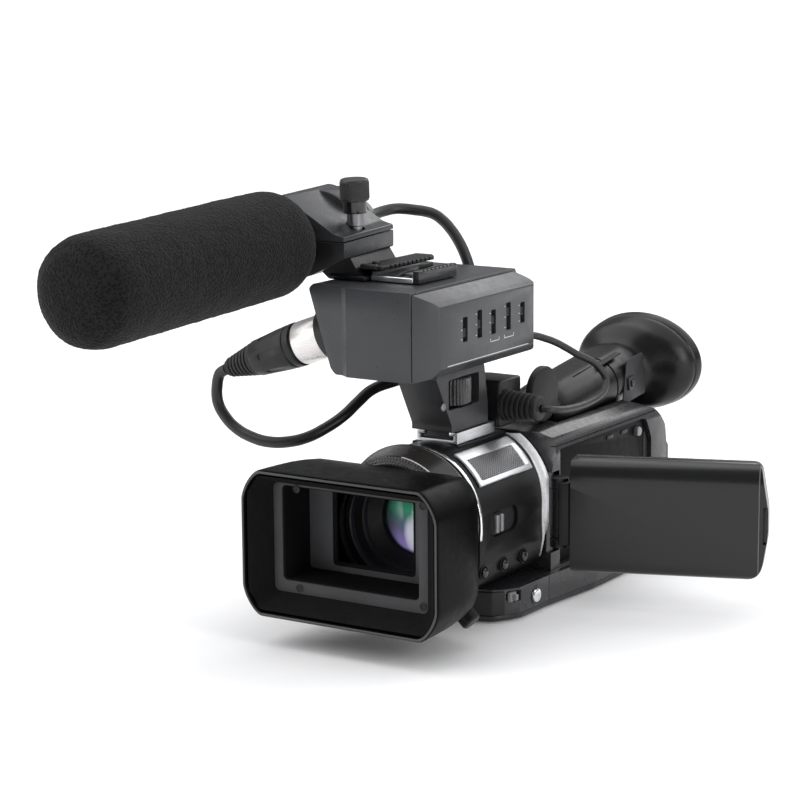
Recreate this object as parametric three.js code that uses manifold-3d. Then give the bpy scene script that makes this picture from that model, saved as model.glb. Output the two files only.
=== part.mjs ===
// Hand-held camcorder with a clip-on two-channel microphone adapter, a shotgun
// microphone in a foam windscreen, a fold-out screen and a tilting viewfinder.
// Millimetres, +Z up, lens looking along -Y, screen side = +X, grip side = -X.
// The object origin is on the flat of the base plate.
import * as THREE from 'three';
import { mergeVertices } from 'three/addons/utils/BufferGeometryUtils.js';
import Module from 'manifold-3d';

const wasm = await Module();
wasm.setup();

// ---------------------------------------------------------------- dimensions
const BASE_Y = 130, BASE_Z = 43;      // origin on the base, seen from the hood rim centre
const GAP = 0.3;                      // gap kept between touching pieces
const AX_Z = 2.5;                     // height of the lens axis above the hood centre
const HOOD_W = 95, HOOD_H = 61.7;     // hood rim, outside
const DRUM_R = 31, DRUM_Y0 = 60.8, DRUM_Y1 = 115;
const FOCUS_R = 33, FOCUS_Y0 = 41.6, FOCUS_Y1 = 56.5;
const SIDE_X = 32.6;                  // screen-side wall of the body
const GRIP_X = -42;                   // grip-side wall of the body
const BODY_Y0 = 118.3, BODY_Y1 = 230;
const BODY_TOP = 32, FOOT_Z = -43;
const HINGE_X = 36.6, HINGE_Y = 118.5;    // screen swing axis
const LCD_OPEN = 70;                  // degrees that the screen stands open
const LCD_L = 84.8, LCD_H = 50.5, LCD_T = 10, LCD_Z = -1.8;
const SHOE_W = 20.5, SHOE_L = 31, SHOE_Y = 77, SHOE_Z = 37.3;
const BOX_Y0 = 40, BOX_Y1 = 131, BOX_X = 19, BOX_Z0 = 64.5, BOX_Z1 = 102;
const MIC_X = -58, MIC_R = 10.5, FOAM_R = 22.8;
const MIC_Z = 118.6, MIC_Y = 52, MIC_TILT = 2.5;   // a point on the microphone's axis
const VF_TILT = 8;

const rad = THREE.MathUtils.degToRad;
const rig = new THREE.Group();
rig.position.set(0, -BASE_Y, BASE_Z);
const root = new THREE.Group();
root.add(rig);

// ------------------------------------------------------------------- helpers
function clean(geometry) {
  let g = geometry.clone();
  g.deleteAttribute('normal'); g.deleteAttribute('uv');
  if (g.index) g = g.toNonIndexed();
  return mergeVertices(g, 1e-4);
}
function solid(geometry) {
  const g = clean(geometry);
  return new wasm.Manifold(new wasm.Mesh({
    numProp: 3,
    vertProperties: new Float32Array(g.attributes.position.array),
    triVerts: new Uint32Array(g.index.array),
  }));
}
function geometryOf(man) {
  const m = man.getMesh();
  const g = new THREE.BufferGeometry();
  g.setAttribute('position', new THREE.BufferAttribute(new Float32Array(m.vertProperties), 3));
  g.setIndex(new THREE.BufferAttribute(new Uint32Array(m.triVerts), 1));
  return g;
}
const join = (...s) => s.reduce((a, b) => a.add(b));
const cut = (a, ...s) => s.reduce((x, b) => x.subtract(b), a);
const both = (a, b) => a.intersect(b);

// prism of an outline along X (outline in y,z), Y (outline in x,z) or Z (outline in x,y)
function prismGeo(axis, pts, a0, a1, bevel = 0) {
  const s = new THREE.Shape(pts.map(p => new THREE.Vector2(p[0], p[1])));
  const g = new THREE.ExtrudeGeometry(s, { depth: a1 - a0, bevelEnabled: false, steps: 1 });
  const m = new THREE.Matrix4();
  if (axis === 'y') m.set(1, 0, 0, 0, 0, 0, -1, a1, 0, 1, 0, 0, 0, 0, 0, 1);
  if (axis === 'x') m.set(0, 0, 1, a0, 1, 0, 0, 0, 0, 1, 0, 0, 0, 0, 0, 1);
  if (axis === 'z') m.makeTranslation(0, 0, a0);
  return g.applyMatrix4(m);
}
const prism = (...a) => solid(prismGeo(...a));
const block = (x0, x1, y0, y1, z0, z1) =>
  solid(new THREE.BoxGeometry(x1 - x0, y1 - y0, z1 - z0).translate((x0 + x1) / 2, (y0 + y1) / 2, (z0 + z1) / 2));
// rectangle with cut or rounded corners, n points per corner
function rounded(u0, u1, v0, v1, r, n = 2, r2 = r) {
  const c = [[u1 - r, v0 + r2, -90], [u1 - r, v1 - r2, 0], [u0 + r, v1 - r2, 90], [u0 + r, v0 + r2, 180]];
  const out = [];
  for (const [cu, cv, a] of c) for (let i = 0; i <= n; i++) {
    const t = rad(a + 90 * i / n);
    out.push([cu + r * Math.cos(t), cv + r2 * Math.sin(t)]);
  }
  return out;
}
function cyl(axis, c, r, a0, a1, seg = 24, r2 = r) {
  const g = new THREE.CylinderGeometry(r2, r, a1 - a0, seg);   // along +Y: r at a0, r2 at a1
  g.translate(0, (a0 + a1) / 2, 0);
  if (axis === 'z') g.rotateX(Math.PI / 2).translate(c[0], c[1], 0);
  if (axis === 'y') g.translate(c[0], 0, c[1]);
  if (axis === 'x') g.rotateZ(-Math.PI / 2).translate(0, c[0], c[1]);
  return solid(g);
}
const ring = (axis, c, r, ri, a0, a1, seg = 24) => cut(cyl(axis, c, r, a0, a1, seg), cyl(axis, c, ri, a0 - 1, a1 + 1, seg));
// closed body through a list of loops that all have the same number of points
function loft(loops) {
  const n = loops[0].length, pos = [], idx = [];
  for (const l of loops) for (const p of l) pos.push(...p);
  for (let k = 0; k + 1 < loops.length; k++) for (let i = 0; i < n; i++) {
    const a = k * n + i, b = k * n + (i + 1) % n, c = a + n, d = b + n;
    idx.push(a, b, d, a, d, c);
  }
  const mid = l => l.reduce((s, p) => [s[0] + p[0] / n, s[1] + p[1] / n, s[2] + p[2] / n], [0, 0, 0]);
  pos.push(...mid(loops[0]), ...mid(loops[loops.length - 1]));
  const c0 = loops.length * n, c1 = c0 + 1, e = (loops.length - 1) * n;
  for (let i = 0; i < n; i++) {
    idx.push(c0, (i + 1) % n, i);
    idx.push(c1, e + i, e + (i + 1) % n);
  }
  const g = new THREE.BufferGeometry();
  g.setAttribute('position', new THREE.Float32BufferAttribute(pos, 3));
  g.setIndex(idx);
  let m = new wasm.Manifold(new wasm.Mesh({ numProp: 3, vertProperties: new Float32Array(pos), triVerts: new Uint32Array(idx) }));
  if (m.volume() < 0) {
    const f = [];
    for (let i = 0; i < idx.length; i += 3) f.push(idx[i], idx[i + 2], idx[i + 1]);
    m = new wasm.Manifold(new wasm.Mesh({ numProp: 3, vertProperties: new Float32Array(pos), triVerts: new Uint32Array(f) }));
  }
  return m;
}
const atY = (pts, y) => pts.map(p => [p[0], y, p[1]]);
function tube(points, r, sides, steps) {
  const path = new THREE.CatmullRomCurve3(points.map(p => new THREE.Vector3(...p)), false, 'centripetal');
  const s = new THREE.Shape();
  for (let i = 0; i <= sides; i++) {
    const a = 2 * Math.PI * i / sides;
    if (i === 0) s.moveTo(r * Math.cos(a), r * Math.sin(a)); else if (i < sides) s.lineTo(r * Math.cos(a), r * Math.sin(a));
  }
  return solid(new THREE.ExtrudeGeometry(s, { steps, bevelEnabled: false, extrudePath: path, curveSegments: 1 }));
}
function turned(man, deg, axis, at) {
  const g = geometryOf(man);
  g.translate(-at[0], -at[1], -at[2]);
  g.applyMatrix4(new THREE.Matrix4().makeRotationAxis(new THREE.Vector3(...axis).normalize(), rad(deg)));
  g.translate(at[0], at[1], at[2]);
  return solid(g);
}
function add(name, man, color, roughness = 0.5, metalness = 0) {
  const mesh = new THREE.Mesh(geometryOf(man), new THREE.MeshStandardMaterial({ color, roughness, metalness }));
  mesh.name = name;
  rig.add(mesh);
  return mesh;
}
const BLACK = 0x17181a, DARK = 0x232427, GREY = 0x45474b, SILVER = 0xb9bcc0, FOAM = 0x202020;

// ------------------------------------------------------------------ lens hood
const rim = (w, h, r, r2, n = 3) => rounded(-w / 2, w / 2, -h / 2, h / 2, r, n, r2);
const round = (r, n = 16, cz = 0) => {           // circle that starts where rim() starts
  const o = [];
  for (let k = 0; k < 4; k++) for (let i = 0; i <= 3; i++) {
    const t = rad(-90 + 90 * k + 90 * (i + 0.5) / 4);
    o.push([r * Math.cos(t), cz + r * Math.sin(t)]);
  }
  return o;
};
{
  const outer = loft([
    atY(rim(HOOD_W, HOOD_H, 8, 12), 0),
    atY(rim(HOOD_W - 1.4, HOOD_H - 0.6, 9, 13), 20),
    atY(rim(HOOD_W - 5, HOOD_H - 2.3, 10, 13), 34),
    atY(rim(HOOD_W - 10.6, HOOD_H - 3.9, 9, 12), 40),
    atY(rim(HOOD_W - 13.4, HOOD_H - 6.7, 8, 11), 41)]);
  const inner = loft([
    atY(rim(HOOD_W - 3.6, HOOD_H - 3.6, 7, 11), -1),
    atY(rim(HOOD_W - 3.8, HOOD_H - 3.8, 7, 11), 0.3),
    atY(rim(HOOD_W - 6, HOOD_H - 5, 8, 11), 20),
    atY(rim(HOOD_W - 14, HOOD_H - 7, 15, 15), 35),
    atY(round(25.6, 16, AX_Z), 39.6),
    atY(round(25.6, 16, AX_Z), 48)]);
  // boss and thumb screw on the lower screen-side corner of the neck, square to the lens axis
  const radial = m => turned(m, 43, [0, 1, 0], [0, 0, AX_Z]);
  const boss = radial(cyl('x', [42.6, AX_Z], 4.2, 31, 44, 16));
  add('lens_hood', cut(join(cut(outer, inner), boss), radial(join(cyl('x', [42.6, AX_Z], 2, 37, 46, 12), cyl('x', [42.6, AX_Z], 4.6, 44, 60, 16)))), BLACK, 0.32);
  // stepped mask inside the hood with the rectangular window in front of the lens
  const body = loft([
    atY(rim(HOOD_W - 4.8, HOOD_H - 4.9, 7, 11), 1.2),
    atY(rim(HOOD_W - 7.4, HOOD_H - 6.4, 9, 12), 20),
    atY(rim(HOOD_W - 12, HOOD_H - 9, 12, 14), 29)]);
  const funnel = loft([
    atY(rounded(-45.0, 45.0, -28.2, 28.2, 6, 2), 0.8),
    atY(rounded(-44.2, 44.2, -27.4, 27.6, 5.5, 2), 1.6),
    atY(rounded(-37.4, 37.4, -21.6, 24.6, 2, 2), 9.4)]);
  add('hood_mask', cut(body, funnel,
    block(-32, 32, 9, 27.6, -15.4, 22.6),
    prism('y', rounded(-18.7, 18.7, -11.2, 18.6, 1.5, 2), 20, 40)), DARK, 0.6);
  add('hood_lock_screw', radial(join(cyl('x', [42.6, AX_Z], 4.2, 44.3, 52, 18), cyl('x', [42.6, AX_Z], 1.6, 38, 44.6, 12))), BLACK, 0.5);
}

// ------------------------------------------------------------- lens and drum
const ax = [0, AX_Z];
// focus ring: knurled cone in front, grooved cone behind
const hoop = (r, y, n = 40) => Array.from({ length: n }, (_, i) => [r * Math.cos(2 * Math.PI * i / n), y, AX_Z + r * Math.sin(2 * Math.PI * i / n)]);
add('focus_ring', cut(loft([hoop(27.6, FOCUS_Y0), hoop(30, FOCUS_Y0 + 2.4), hoop(30.5, 48), hoop(FOCUS_R, FOCUS_Y1)]), cyl('y', ax, 26.4, 40, 58, 40)), BLACK, 0.25);
add('lens_barrel', join(ring('y', ax, 23.5, 21.5, 46, 104, 32), ring('y', ax, 22, 16, 63, 65, 32), ring('y', ax, 28.9, 21.8, 84, 88, 32)), BLACK, 0.4);
{
  const prof = [[0, -3], [6, -2.5], [11, -1.2], [15.5, 0.6], [15.5, 2.4], [0, 2.4]];
  const lens = new THREE.LatheGeometry(prof.map(p => new THREE.Vector2(p[0], p[1])), 28);
  add('front_lens', solid(lens.translate(0, 60, 0).translate(ax[0], 0, ax[1])), 0x1c3a34, 0.05);
}
add('image_sensor', block(-9, 9, 98, 101, AX_Z - 7, AX_Z + 7), 0x274034, 0.5);
{
  // drum: cylinder wall that fills out to a flatter flank below the lens axis
  const flank = prism('y', [[0, -28.4], [21, -28.4], [28.4, -23.5], [30.7, -14], [31, AX_Z], [0, AX_Z]], DRUM_Y0, DRUM_Y1);
  const flankIn = prism('y', [[0, -26.6], [20.6, -26.6], [26.8, -22.4], [28.9, -13.6], [29.2, AX_Z], [0, AX_Z + 1]], DRUM_Y0 - 1, DRUM_Y1 + 1);
  const base = block(-11.6, 11.6, SHOE_Y - 1, DRUM_Y1, 27, 32.3);
  let shell = join(cyl('y', ax, DRUM_R, DRUM_Y0, DRUM_Y1, 40), flank, base);
  shell = cut(shell, cyl('y', ax, 29.2, DRUM_Y0 - 1, DRUM_Y1 + 1, 40), flankIn, block(-11.6, 11.6, SHOE_Y - 1, DRUM_Y1 + 1, 32.3, 40));
  const slot = block(28.6, 33, 70.4, 92.4, -4.2, 6.6);
  const BTN = [[64.5, -17.6], [81, -17.6], [97.5, -17.6]];
  shell = cut(shell, slot, ...BTN.map(([y, z]) => cyl('x', [y, z], 2.7, 26, 33, 12)));
  add('drum_shell', shell, BLACK, 0.3);
  // silver half ring between the drum and the body, thick at the side and fading at its ends
  const cres = both(cut(cyl('y', ax, 33.6, DRUM_Y1 + GAP, 118, 40), cyl('y', [-2.6, AX_Z - 1.6], 30.4, 100, 125, 40)),
    cut(block(4, 40, 100, 120, -27, 31.2), cyl('z', [HINGE_X, HINGE_Y], 4.5, -22, 16)));
  add('trim_crescent', cres, SILVER, 0.2, 1);
  // silver side plate with its recessed microphone grille, lying on the drum
  const wedge = (a0, a1, r0, r1, y0, y1, n = 6) => {
    const p = [];
    for (let i = 0; i <= n; i++) { const t = rad(a0 + (a1 - a0) * i / n); p.push([r1 * Math.cos(t), AX_Z + r1 * Math.sin(t)]); }
    for (let i = n; i >= 0; i--) { const t = rad(a0 + (a1 - a0) * i / n); p.push([r0 * Math.cos(t), AX_Z + r0 * Math.sin(t)]); }
    return prism('y', p, y0, y1);
  };
  add('side_trim', cut(wedge(29.5, 62, DRUM_R + GAP, 32.5, 66.5, 110, 8), wedge(34, 53, 31.9, 34, 69.6, 105.4)), SILVER, 0.3, 1);
  // focus selector, a two-rib slider in a long slot
  add('drum_switch', join(block(29.5, 30.3, 70.9, 81.4, -3.6, 6), block(30, 32, 72.2, 74.8, -3, 5.4), block(30, 32, 77.4, 80, -3, 5.4)), DARK, 0.4);
  BTN.forEach(([y, z], i) => add('drum_button_' + (i + 1), cyl('x', [y, z], 2.3, 27.4, 31.9, 12), DARK, 0.5));
}

// --------------------------------------------------------------------- body
{
  const side = [[BODY_Y0, -45], [BODY_Y1, -45], [BODY_Y1, 8], [228.6, 17], [221, 25.4], [204, BODY_TOP + 1], [BODY_Y0, BODY_TOP + 1]];
  const sideIn = [[BODY_Y0 + 2, -45], [BODY_Y1 - 2, -45], [BODY_Y1 - 2, 7.6], [226.8, 16], [220, 23.7], [203.4, BODY_TOP - 1], [BODY_Y0 + 2, BODY_TOP - 1]];
  const lightPath = cyl('y', ax, 22, 110, 122, 28);
  // trough under the viewfinder
  const vfRoom = join(turned(loft([
    atY(rounded(-11.4, 21.4, 19.8, 60, 9, 3), 150), atY(rounded(-11.4, 21.4, 19.8, 60, 9, 3), 206), atY(rounded(-11.4, 21.4, 17.8, 60, 9, 3), 245)]), VF_TILT, [1, 0, 0], [0, 160, 33]),
    cyl('x', [160, 33], 15.6, -11.4, 21.4, 28));
  const bed = block(-14, 24, 143, BODY_Y1, 14, BODY_TOP);
  // screen-side half
  const halfR = [[0.15, -40], [SIDE_X, -40], [SIDE_X, 22.5], [31, 27.4], [25, 31], [19, BODY_TOP], [0.15, BODY_TOP]];
  const halfRi = [[-1, -41], [SIDE_X - 2, -41], [SIDE_X - 2, 21.8], [29.4, 25.8], [24.4, 29], [19, BODY_TOP - 2], [-1, BODY_TOP - 2]];
  const outR = both(prism('y', halfR, BODY_Y0, BODY_Y1), prism('x', side, -60, 60));
  const inR = both(prism('y', halfRi, BODY_Y0 + 2, BODY_Y1 - 2), prism('x', sideIn, -60, 60));
  const foot = prism('z', [[0.15, 75], [18, 75], [27, 78], [30.2, 81.2], [34.4, 87], [35.2, 112], [38.4, 150], [38.4, 220], [34, 228], [0.15, 228]], -40, -28.9);
  const footIn = prism('z', [[-1, 77], [17.6, 77], [26, 79.8], [28.6, 82.6], [32.4, 88], [33.2, 112], [36.4, 150], [36.4, 219.4], [33.2, 226], [-1, 226]], -41, -30.9);
  let left = join(cut(join(outR, foot), inR, footIn), both(bed, prism('y', halfR, BODY_Y0, BODY_Y1)));
  left = both(left, join(prism('x', side, -60, 60), block(0, 60, 70, 125, -45, -28)));
  left = cut(left, vfRoom, lightPath, block(31.2, 40, 118, 125.6, -20.8, 15),
    block(31.6, 36, 80.6, 89, -34.6, -29.9), cyl('x', [101.6, -35.4], 3.5, 30, 37, 16), cyl('x', [202.4, 18.5], 2.6, 30, 36, 12));
  add('left_shell', left, DARK, 0.45);
  // grip-side half
  const halfL = [[-0.15, BODY_TOP], [-22, BODY_TOP], [-32, 28], [-38, 20], [GRIP_X, 8], [GRIP_X, -28], [-36, -40], [-0.15, -40]];
  const halfLi = [[1, BODY_TOP - 2], [-21.5, BODY_TOP - 2], [-31, 26.4], [-36.3, 19.2], [GRIP_X + 2, 7.4], [GRIP_X + 2, -27.4], [-35, -41], [1, -41]];
  const outL = both(prism('y', halfL, BODY_Y0, BODY_Y1), prism('x', side, -60, 60));
  const inL = both(prism('y', halfLi, BODY_Y0 + 2, BODY_Y1 - 2), prism('x', sideIn, -60, 60));
  const footL = prism('z', [[-0.15, 75], [-16, 75], [-30, 80], [-35.4, 92], [-36, 122], [-0.15, 122]], -40, -28.9);
  const footLi = prism('z', [[1, 77], [-15.6, 77], [-28.6, 81.4], [-33.4, 92.6], [-34, 126], [1, 126]], -41, -30.9);
  let right = join(cut(join(outL, footL), inL, footLi), both(bed, outL));
  right = cut(right, vfRoom, lightPath);
  // cassette opening, record button well
  right = cut(right, block(-50, -34, 122, 224, -30, 12), cyl('y', [-28, -6], 6.6, 224, 240, 20), cyl('z', [-18, 172], 3.9, 29, 34, 16));
  add('right_shell', right, DARK, 0.45);

  add('base_plate', cut(
    prism('z', [[-15, 76], [18, 76], [27, 79], [31, 85.5], [33.6, 92], [34.2, 112], [37.4, 150], [37.4, 220], [33, 227], [-30, 227], [-34.5, 222], [-34.5, 92], [-29, 81.5]], FOOT_Z, -40.3),
    cyl('z', [0, 150], 3.2, -50, -30, 20), cyl('z', [0, 168], 2, -50, -30, 12)), BLACK, 0.6);
  add('main_board', block(-10, 28, 127, 129, -27, 12), 0x1f5a3a, 0.6);
  add('tape_deck', cut(block(-36.5, -13, 136, 212, -28, 10), block(-40, -17, 139, 209, -25, 7)), 0x8a8d90, 0.4, 1);
  // grip: the hollow lid over the cassette, hinged at its lower edge
  add('cassette_lid', cut(prism('x', rounded(122.4, 223.6, -29.6, 11.6, 5, 2), -47, -38.5),
    prism('x', rounded(124.4, 221.6, -27.6, 9.6, 4, 2), -45, -38)), BLACK, 0.4);
  // padded hand strap, an arch from the front of the lid to its rear; it opens with the lid
  const arch = [[-47.3, 123.6], [-54, 125], [-62, 134], [-66.6, 152], [-68, 174], [-65, 198], [-57, 216], [-47.3, 222.4]];
  const archIn = [[-47.3, 218.4], [-54.6, 212.6], [-61.8, 196.4], [-64.6, 173.8], [-63.4, 153], [-59.4, 137], [-53, 129.2], [-47.3, 127.8]];
  add('hand_strap', prism('z', [...arch, ...archIn].reverse(), -22, 6), BLACK, 0.9);
  // rubber cover of the jacks at the lower front corner
  add('jack_cover', prism('z', [[17, 73.1], [27.6, 76.1], [31.6, 80.4], [30.4, 80.9], [27.2, 77.6], [17, 74.7]], -39.6, -29.6), BLACK, 0.7);
  add('round_button', cyl('x', [101.6, -35.4], 3.1, 31.5, 36, 16), SILVER, 0.3, 1);
  add('side_switch', join(block(32, 33.6, 81.6, 86.6, -34.2, -30.3), block(33.4, 35.6, 83.2, 85, -33.6, -30.9)), DARK, 0.4);
  add('display_button', cyl('x', [202.4, 18.5], 2.2, 30.4, 33, 12), GREY, 0.4);
  add('record_button', join(cyl('y', [-28, -6], 6.1, 228.4, 232, 20), cyl('y', [-28, -6], 4.6, 231.5, 233, 20)), 0xa02020, 0.4);
  add('mode_dial', cut(cyl('y', [-28, -6], 10.5, 230.4, 234.4, 24), cyl('y', [-28, -6], 6.9, 225, 245, 20)), DARK, 0.4);
  add('battery_pack', prism('y', rounded(-14, 22, -36, 4, 3, 2), 230.4, 254), BLACK, 0.45);
  // rocker and shutter release on the grip's shoulder
  add('zoom_rocker', prism('x', [[141, 33.4], [142, 35.4], [148, 34.6], [154, 34.6], [160, 35.4], [161, 33.4], [151, 32.4]], -22, -14.6), DARK, 0.4);
  add('photo_button', cyl('z', [-18, 172], 3.6, 31.2, 34, 16), SILVER, 0.35, 1);
}

// -------------------------------------------------------------- body shoe
{
  const rail = join(
    block(-SHOE_W / 2, -8.2, SHOE_Y, SHOE_Y + SHOE_L, 33, SHOE_Z), block(8.2, SHOE_W / 2, SHOE_Y, SHOE_Y + SHOE_L, 33, SHOE_Z),
    block(-SHOE_W / 2, -6.2, SHOE_Y, SHOE_Y + SHOE_L, SHOE_Z - 1.4, SHOE_Z + 0.2), block(6.2, SHOE_W / 2, SHOE_Y, SHOE_Y + SHOE_L, SHOE_Z - 1.4, SHOE_Z + 0.2),
    block(-SHOE_W / 2, SHOE_W / 2, SHOE_Y, SHOE_Y + SHOE_L, 32.6, 34));
  add('accessory_shoe', rail, SILVER, 0.25, 1);
}

// ------------------------------------------------------------- fold-out screen
{
  // pieces are drawn closed (panel along +Y, cover facing +X) and swung open about the upright pin
  const open = m => turned(m, -LCD_OPEN, [0, 0, 1], [HINGE_X, HINGE_Y, 0]);
  const y0 = HINGE_Y + 5.6, y1 = y0 + LCD_L, x1 = HINGE_X + 6.6, x0 = x1 - LCD_T;
  const z0 = LCD_Z - LCD_H / 2, z1 = LCD_Z + LCD_H / 2, xm = (x0 + x1) / 2;
  const outline = (e = 0) => [
    [y0 + e, z0 + 5], [y0 + 1.6 + e, z0 + 1.6 + e], [y0 + 5, z0 + e],
    [y1 - 13, z0 + e], [y1 - 7 - e, z0 + 2.4 + e], [y1 - 3.6 - e, z0 + 7.5], [y1 - 1 - e, LCD_Z - 11], [y1 - e, LCD_Z],
    [y1 - 1 - e, LCD_Z + 11], [y1 - 3.6 - e, z1 - 3.4 - e], [y1 - 5.4 - e, z1 - 1 - e], [y1 - 8, z1 - e],
    [y0 + 5, z1 - e], [y0 + 1.6 + e, z1 - 1.6 - e], [y0 + e, z1 - 5]];
  add('lcd_arm', open(join(cyl('z', [HINGE_X, HINGE_Y], 4, LCD_Z - 15.5, LCD_Z + 15.5, 20),
    block(xm - 3.2, xm + 3.2, HINGE_Y, y0 - GAP, LCD_Z - 14, LCD_Z + 14))), BLACK, 0.4);
  add('lcd_cover', open(cut(prism('x', outline(0), x0 + 3, x1), prism('x', outline(1.6), x0, x1 - 1.6))), BLACK, 0.35);
  add('lcd_bezel', open(cut(prism('x', outline(0), x0, x0 + 2.7), block(x0 - 1, x0 + 5, y0 + 9.5, y0 + 70.5, LCD_Z - 17.5, LCD_Z + 17.5))), DARK, 0.4);
  add('lcd_screen', open(block(x0 + 0.7, x0 + 4.7, y0 + 9.9, y0 + 70.1, LCD_Z - 17.1, LCD_Z + 17.1)), 0x0a0c10, 0.1);
}

// --------------------------------------------------------------- viewfinder
{
  const vx = 5, py = 160, pz = 33;
  const tilt = m => turned(m, VF_TILT, [1, 0, 0], [vx, py, pz]);
  const sec = (w, h, y, zc, r) => atY(rounded(vx - w / 2, vx + w / 2, zc - h / 2, zc + h / 2, r, 3), y);
  const outer = loft([sec(22, 18, 151.5, 32.6, 7), sec(28, 23, 157, 32.8, 9), sec(30, 24, 166, 33, 10), sec(31, 24.4, 205, 32.4, 10), sec(31.4, 25.6, 230, 31, 10.5)]);
  const inner = loft([sec(18, 14, 168, 33, 6), sec(24, 18.6, 176, 33, 8), sec(25, 19, 205, 32.4, 8), sec(25, 20, 240, 31, 8)]);
  add('viewfinder_tube', tilt(cut(outer, inner)), BLACK, 0.35);
  const el = (a, b, y, cx, cz) => { const p = []; for (let i = 0; i < 28; i++) { const t = 2 * Math.PI * i / 28; p.push([cx + a * Math.cos(t), y, cz + b * Math.sin(t)]); } return p; };
  const cupO = loft([el(15, 12.8, 230.4, vx, 31), el(18, 15.4, 233.5, vx + 0.2, 31), el(26, 20.2, 238.5, vx + 2, 30.5), el(30.2, 22.9, 245, vx + 3.6, 30.2), el(30.8, 23.4, 253, vx + 4.2, 30.2)]);
  const cupI = loft([el(11, 9.4, 229, vx, 31), el(12, 10.4, 235, vx + 0.2, 31), el(23.4, 17.8, 241.5, vx + 2, 30.5), el(28, 20.8, 247, vx + 3.6, 30.2), el(28.6, 21.4, 255, vx + 4.2, 30.2)]);
  add('eyecup', tilt(cut(cupO, cupI)), BLACK, 0.75);
  add('eyepiece_lens', tilt(cyl('y', [vx, 31], 8.6, 224.5, 228, 24)), 0x20262c, 0.05);
  add('diopter_lever', tilt(block(vx + 15.9, vx + 18, 212, 218, 27.6, 33.6)), DARK, 0.5);
}

// --------------------------------------------------------- microphone adapter
{
  const L = [[-31.4, 67], [-29, BOX_Z0], [10.4, BOX_Z0], [10.4, 102], [-40, 102], [-42.8, 100]];
  let shell = prism('y', L, BOX_Y0, BOX_Y1);
  shell = cut(shell, prism('y', [[-28.6, 69], [-27, 67], [12, 67], [12, 99.6], [-38.2, 99.6], [-39.6, 97.4]], BOX_Y0 + 6.4, BOX_Y1 - 2.4));
  // left third of the front stands back a little, with a bevelled step; rear top edge is bevelled
  shell = cut(shell, prism('z', [[-50, 30], [-24.6, 30], [-24.6, 40.6], [-25.4, 41.6], [-50, 45]], 50, 110));
  shell = cut(shell, prism('x', [[123, 103], [128, 98.5], [BOX_Y1, 92], [135, 92], [135, 110], [123, 110]], -50, 12));
  shell = join(shell, prism('x', [[120.6, 99.4], [124, 102], [128, 98.4], [BOX_Y1, 92], [BOX_Y1, 89], [128.4, 89], [126.2, 97]], -37, 10.4));
  // two sockets on the slanted side
  const slant = m => turned(m, -20, [0, 1, 0], [-37, 0, 80]);
  const hole = (y, r) => slant(cyl('x', [y, 80], r, -50, -18, 24));
  shell = cut(shell, hole(56, 11.9), hole(86, 11.9));
  add('adapter_shell', cut(shell, block(-9.5, 10.5, 60, 100, 60, 64.6)), GREY, 0.45);
  add('xlr_sockets', slant(cut(join(cyl('x', [56, 80], 11.6, -40.6, -24, 24), cyl('x', [86, 80], 11.6, -40.6, -24, 24), block(-40.6, -38.6, 56, 86, 70, 90)),
    cyl('x', [56, 80], 9.9, -45, -26, 24), cyl('x', [86, 80], 9.9, -45, -26, 24))), DARK, 0.5);
  // side panel: chamfered block that carries the five slide switches
  const P = [[10.7, BOX_Z0], [16.4, 66.2], [BOX_X, 69.5], [BOX_X, 95.2], [16.8, 97.2], [10.7, 101]];
  let side = prism('y', P, BOX_Y0, BOX_Y1);
  side = both(side, prism('z', [[10.7, BOX_Y0], [BOX_X + 0.2, 49.6], [BOX_X + 0.2, 126], [16.4, BOX_Y1], [10.7, BOX_Y1]], 60, 110));
  side = both(side, prism('x', [[30, 60], [BOX_Y1 - 4, 60], [BOX_Y1 + 0.1, 68], [BOX_Y1 + 0.1, 91], [127, 98.4], [120, 103], [30, 103]], 5, 30));
  side = cut(side, prism('y', [[9, 67], [15, 67.8], [16.8, 70.5], [16.8, 94], [15.4, 95.6], [9, 98.6]], BOX_Y0 + 10, BOX_Y1 - 8));
  const ys = [69.2, 81, 92.4, 105, 117];
  ys.forEach((y, i) => { side = cut(side, block(16, 20, y - 1.9, y + 1.9, i === 4 ? 80 : 78.6, i % 2 ? 90.4 : 89)); });
  add('adapter_side_panel', side, GREY, 0.45);
  ys.forEach((y, i) => {
    const zc = [82.4, 84.4, 84.6, 86.4, 85.2][i];
    add('adapter_switch_' + (i + 1), join(block(15.5, 16.4, y - 2.9, y + 2.9, zc - 4, zc + 4), block(16, 18.5, y - 1.4, y + 1.4, zc - 1.8, zc + 1.8)), BLACK, 0.5);
  });
  // neck and foot that stand in the body shoe
  const N = [[60, 64.2], [73, 41], [73, 38.2], [103, 38.2], [103, 46], [100, 64.2]];
  let neck = prism('x', N, -10, 10);
  neck = cut(neck, block(-2, 12, 70.5, 96, 47.8, 61.4), cyl('z', [0, 84], 11.2, 47.8, 61.4, 24));
  neck = join(neck, block(-5.9, 5.9, SHOE_Y + 1, SHOE_Y + 22, 34.3, 39), block(-7.9, 7.9, SHOE_Y + 1, SHOE_Y + 22, 34.3, 35.5));
  add('adapter_neck', neck, DARK, 0.5);
  add('clamp_wheel', cyl('z', [0.6, 84], 10.6, 48.6, 60.6, 28), DARK, 0.4);
  // shoe on top of the adapter
  const tx = -11.5, tz = 102.3;
  add('adapter_top_shoe', join(
    block(tx - 10.3, tx + 10.3, 61, 95, tz, tz + 1), block(tx - 10.3, tx - 8.3, 61, 95, tz, tz + 4.2), block(tx + 8.3, tx + 10.3, 61, 95, tz, tz + 4.2),
    block(tx - 10.3, tx - 6.2, 61, 95, tz + 3, tz + 4.2), block(tx + 6.2, tx + 10.3, 61, 95, tz + 3, tz + 4.2),
    block(tx + 10.2, tx + 13.4, 61, 96, tz, tz + 5.6)), SILVER, 0.3, 1);
}

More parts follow.
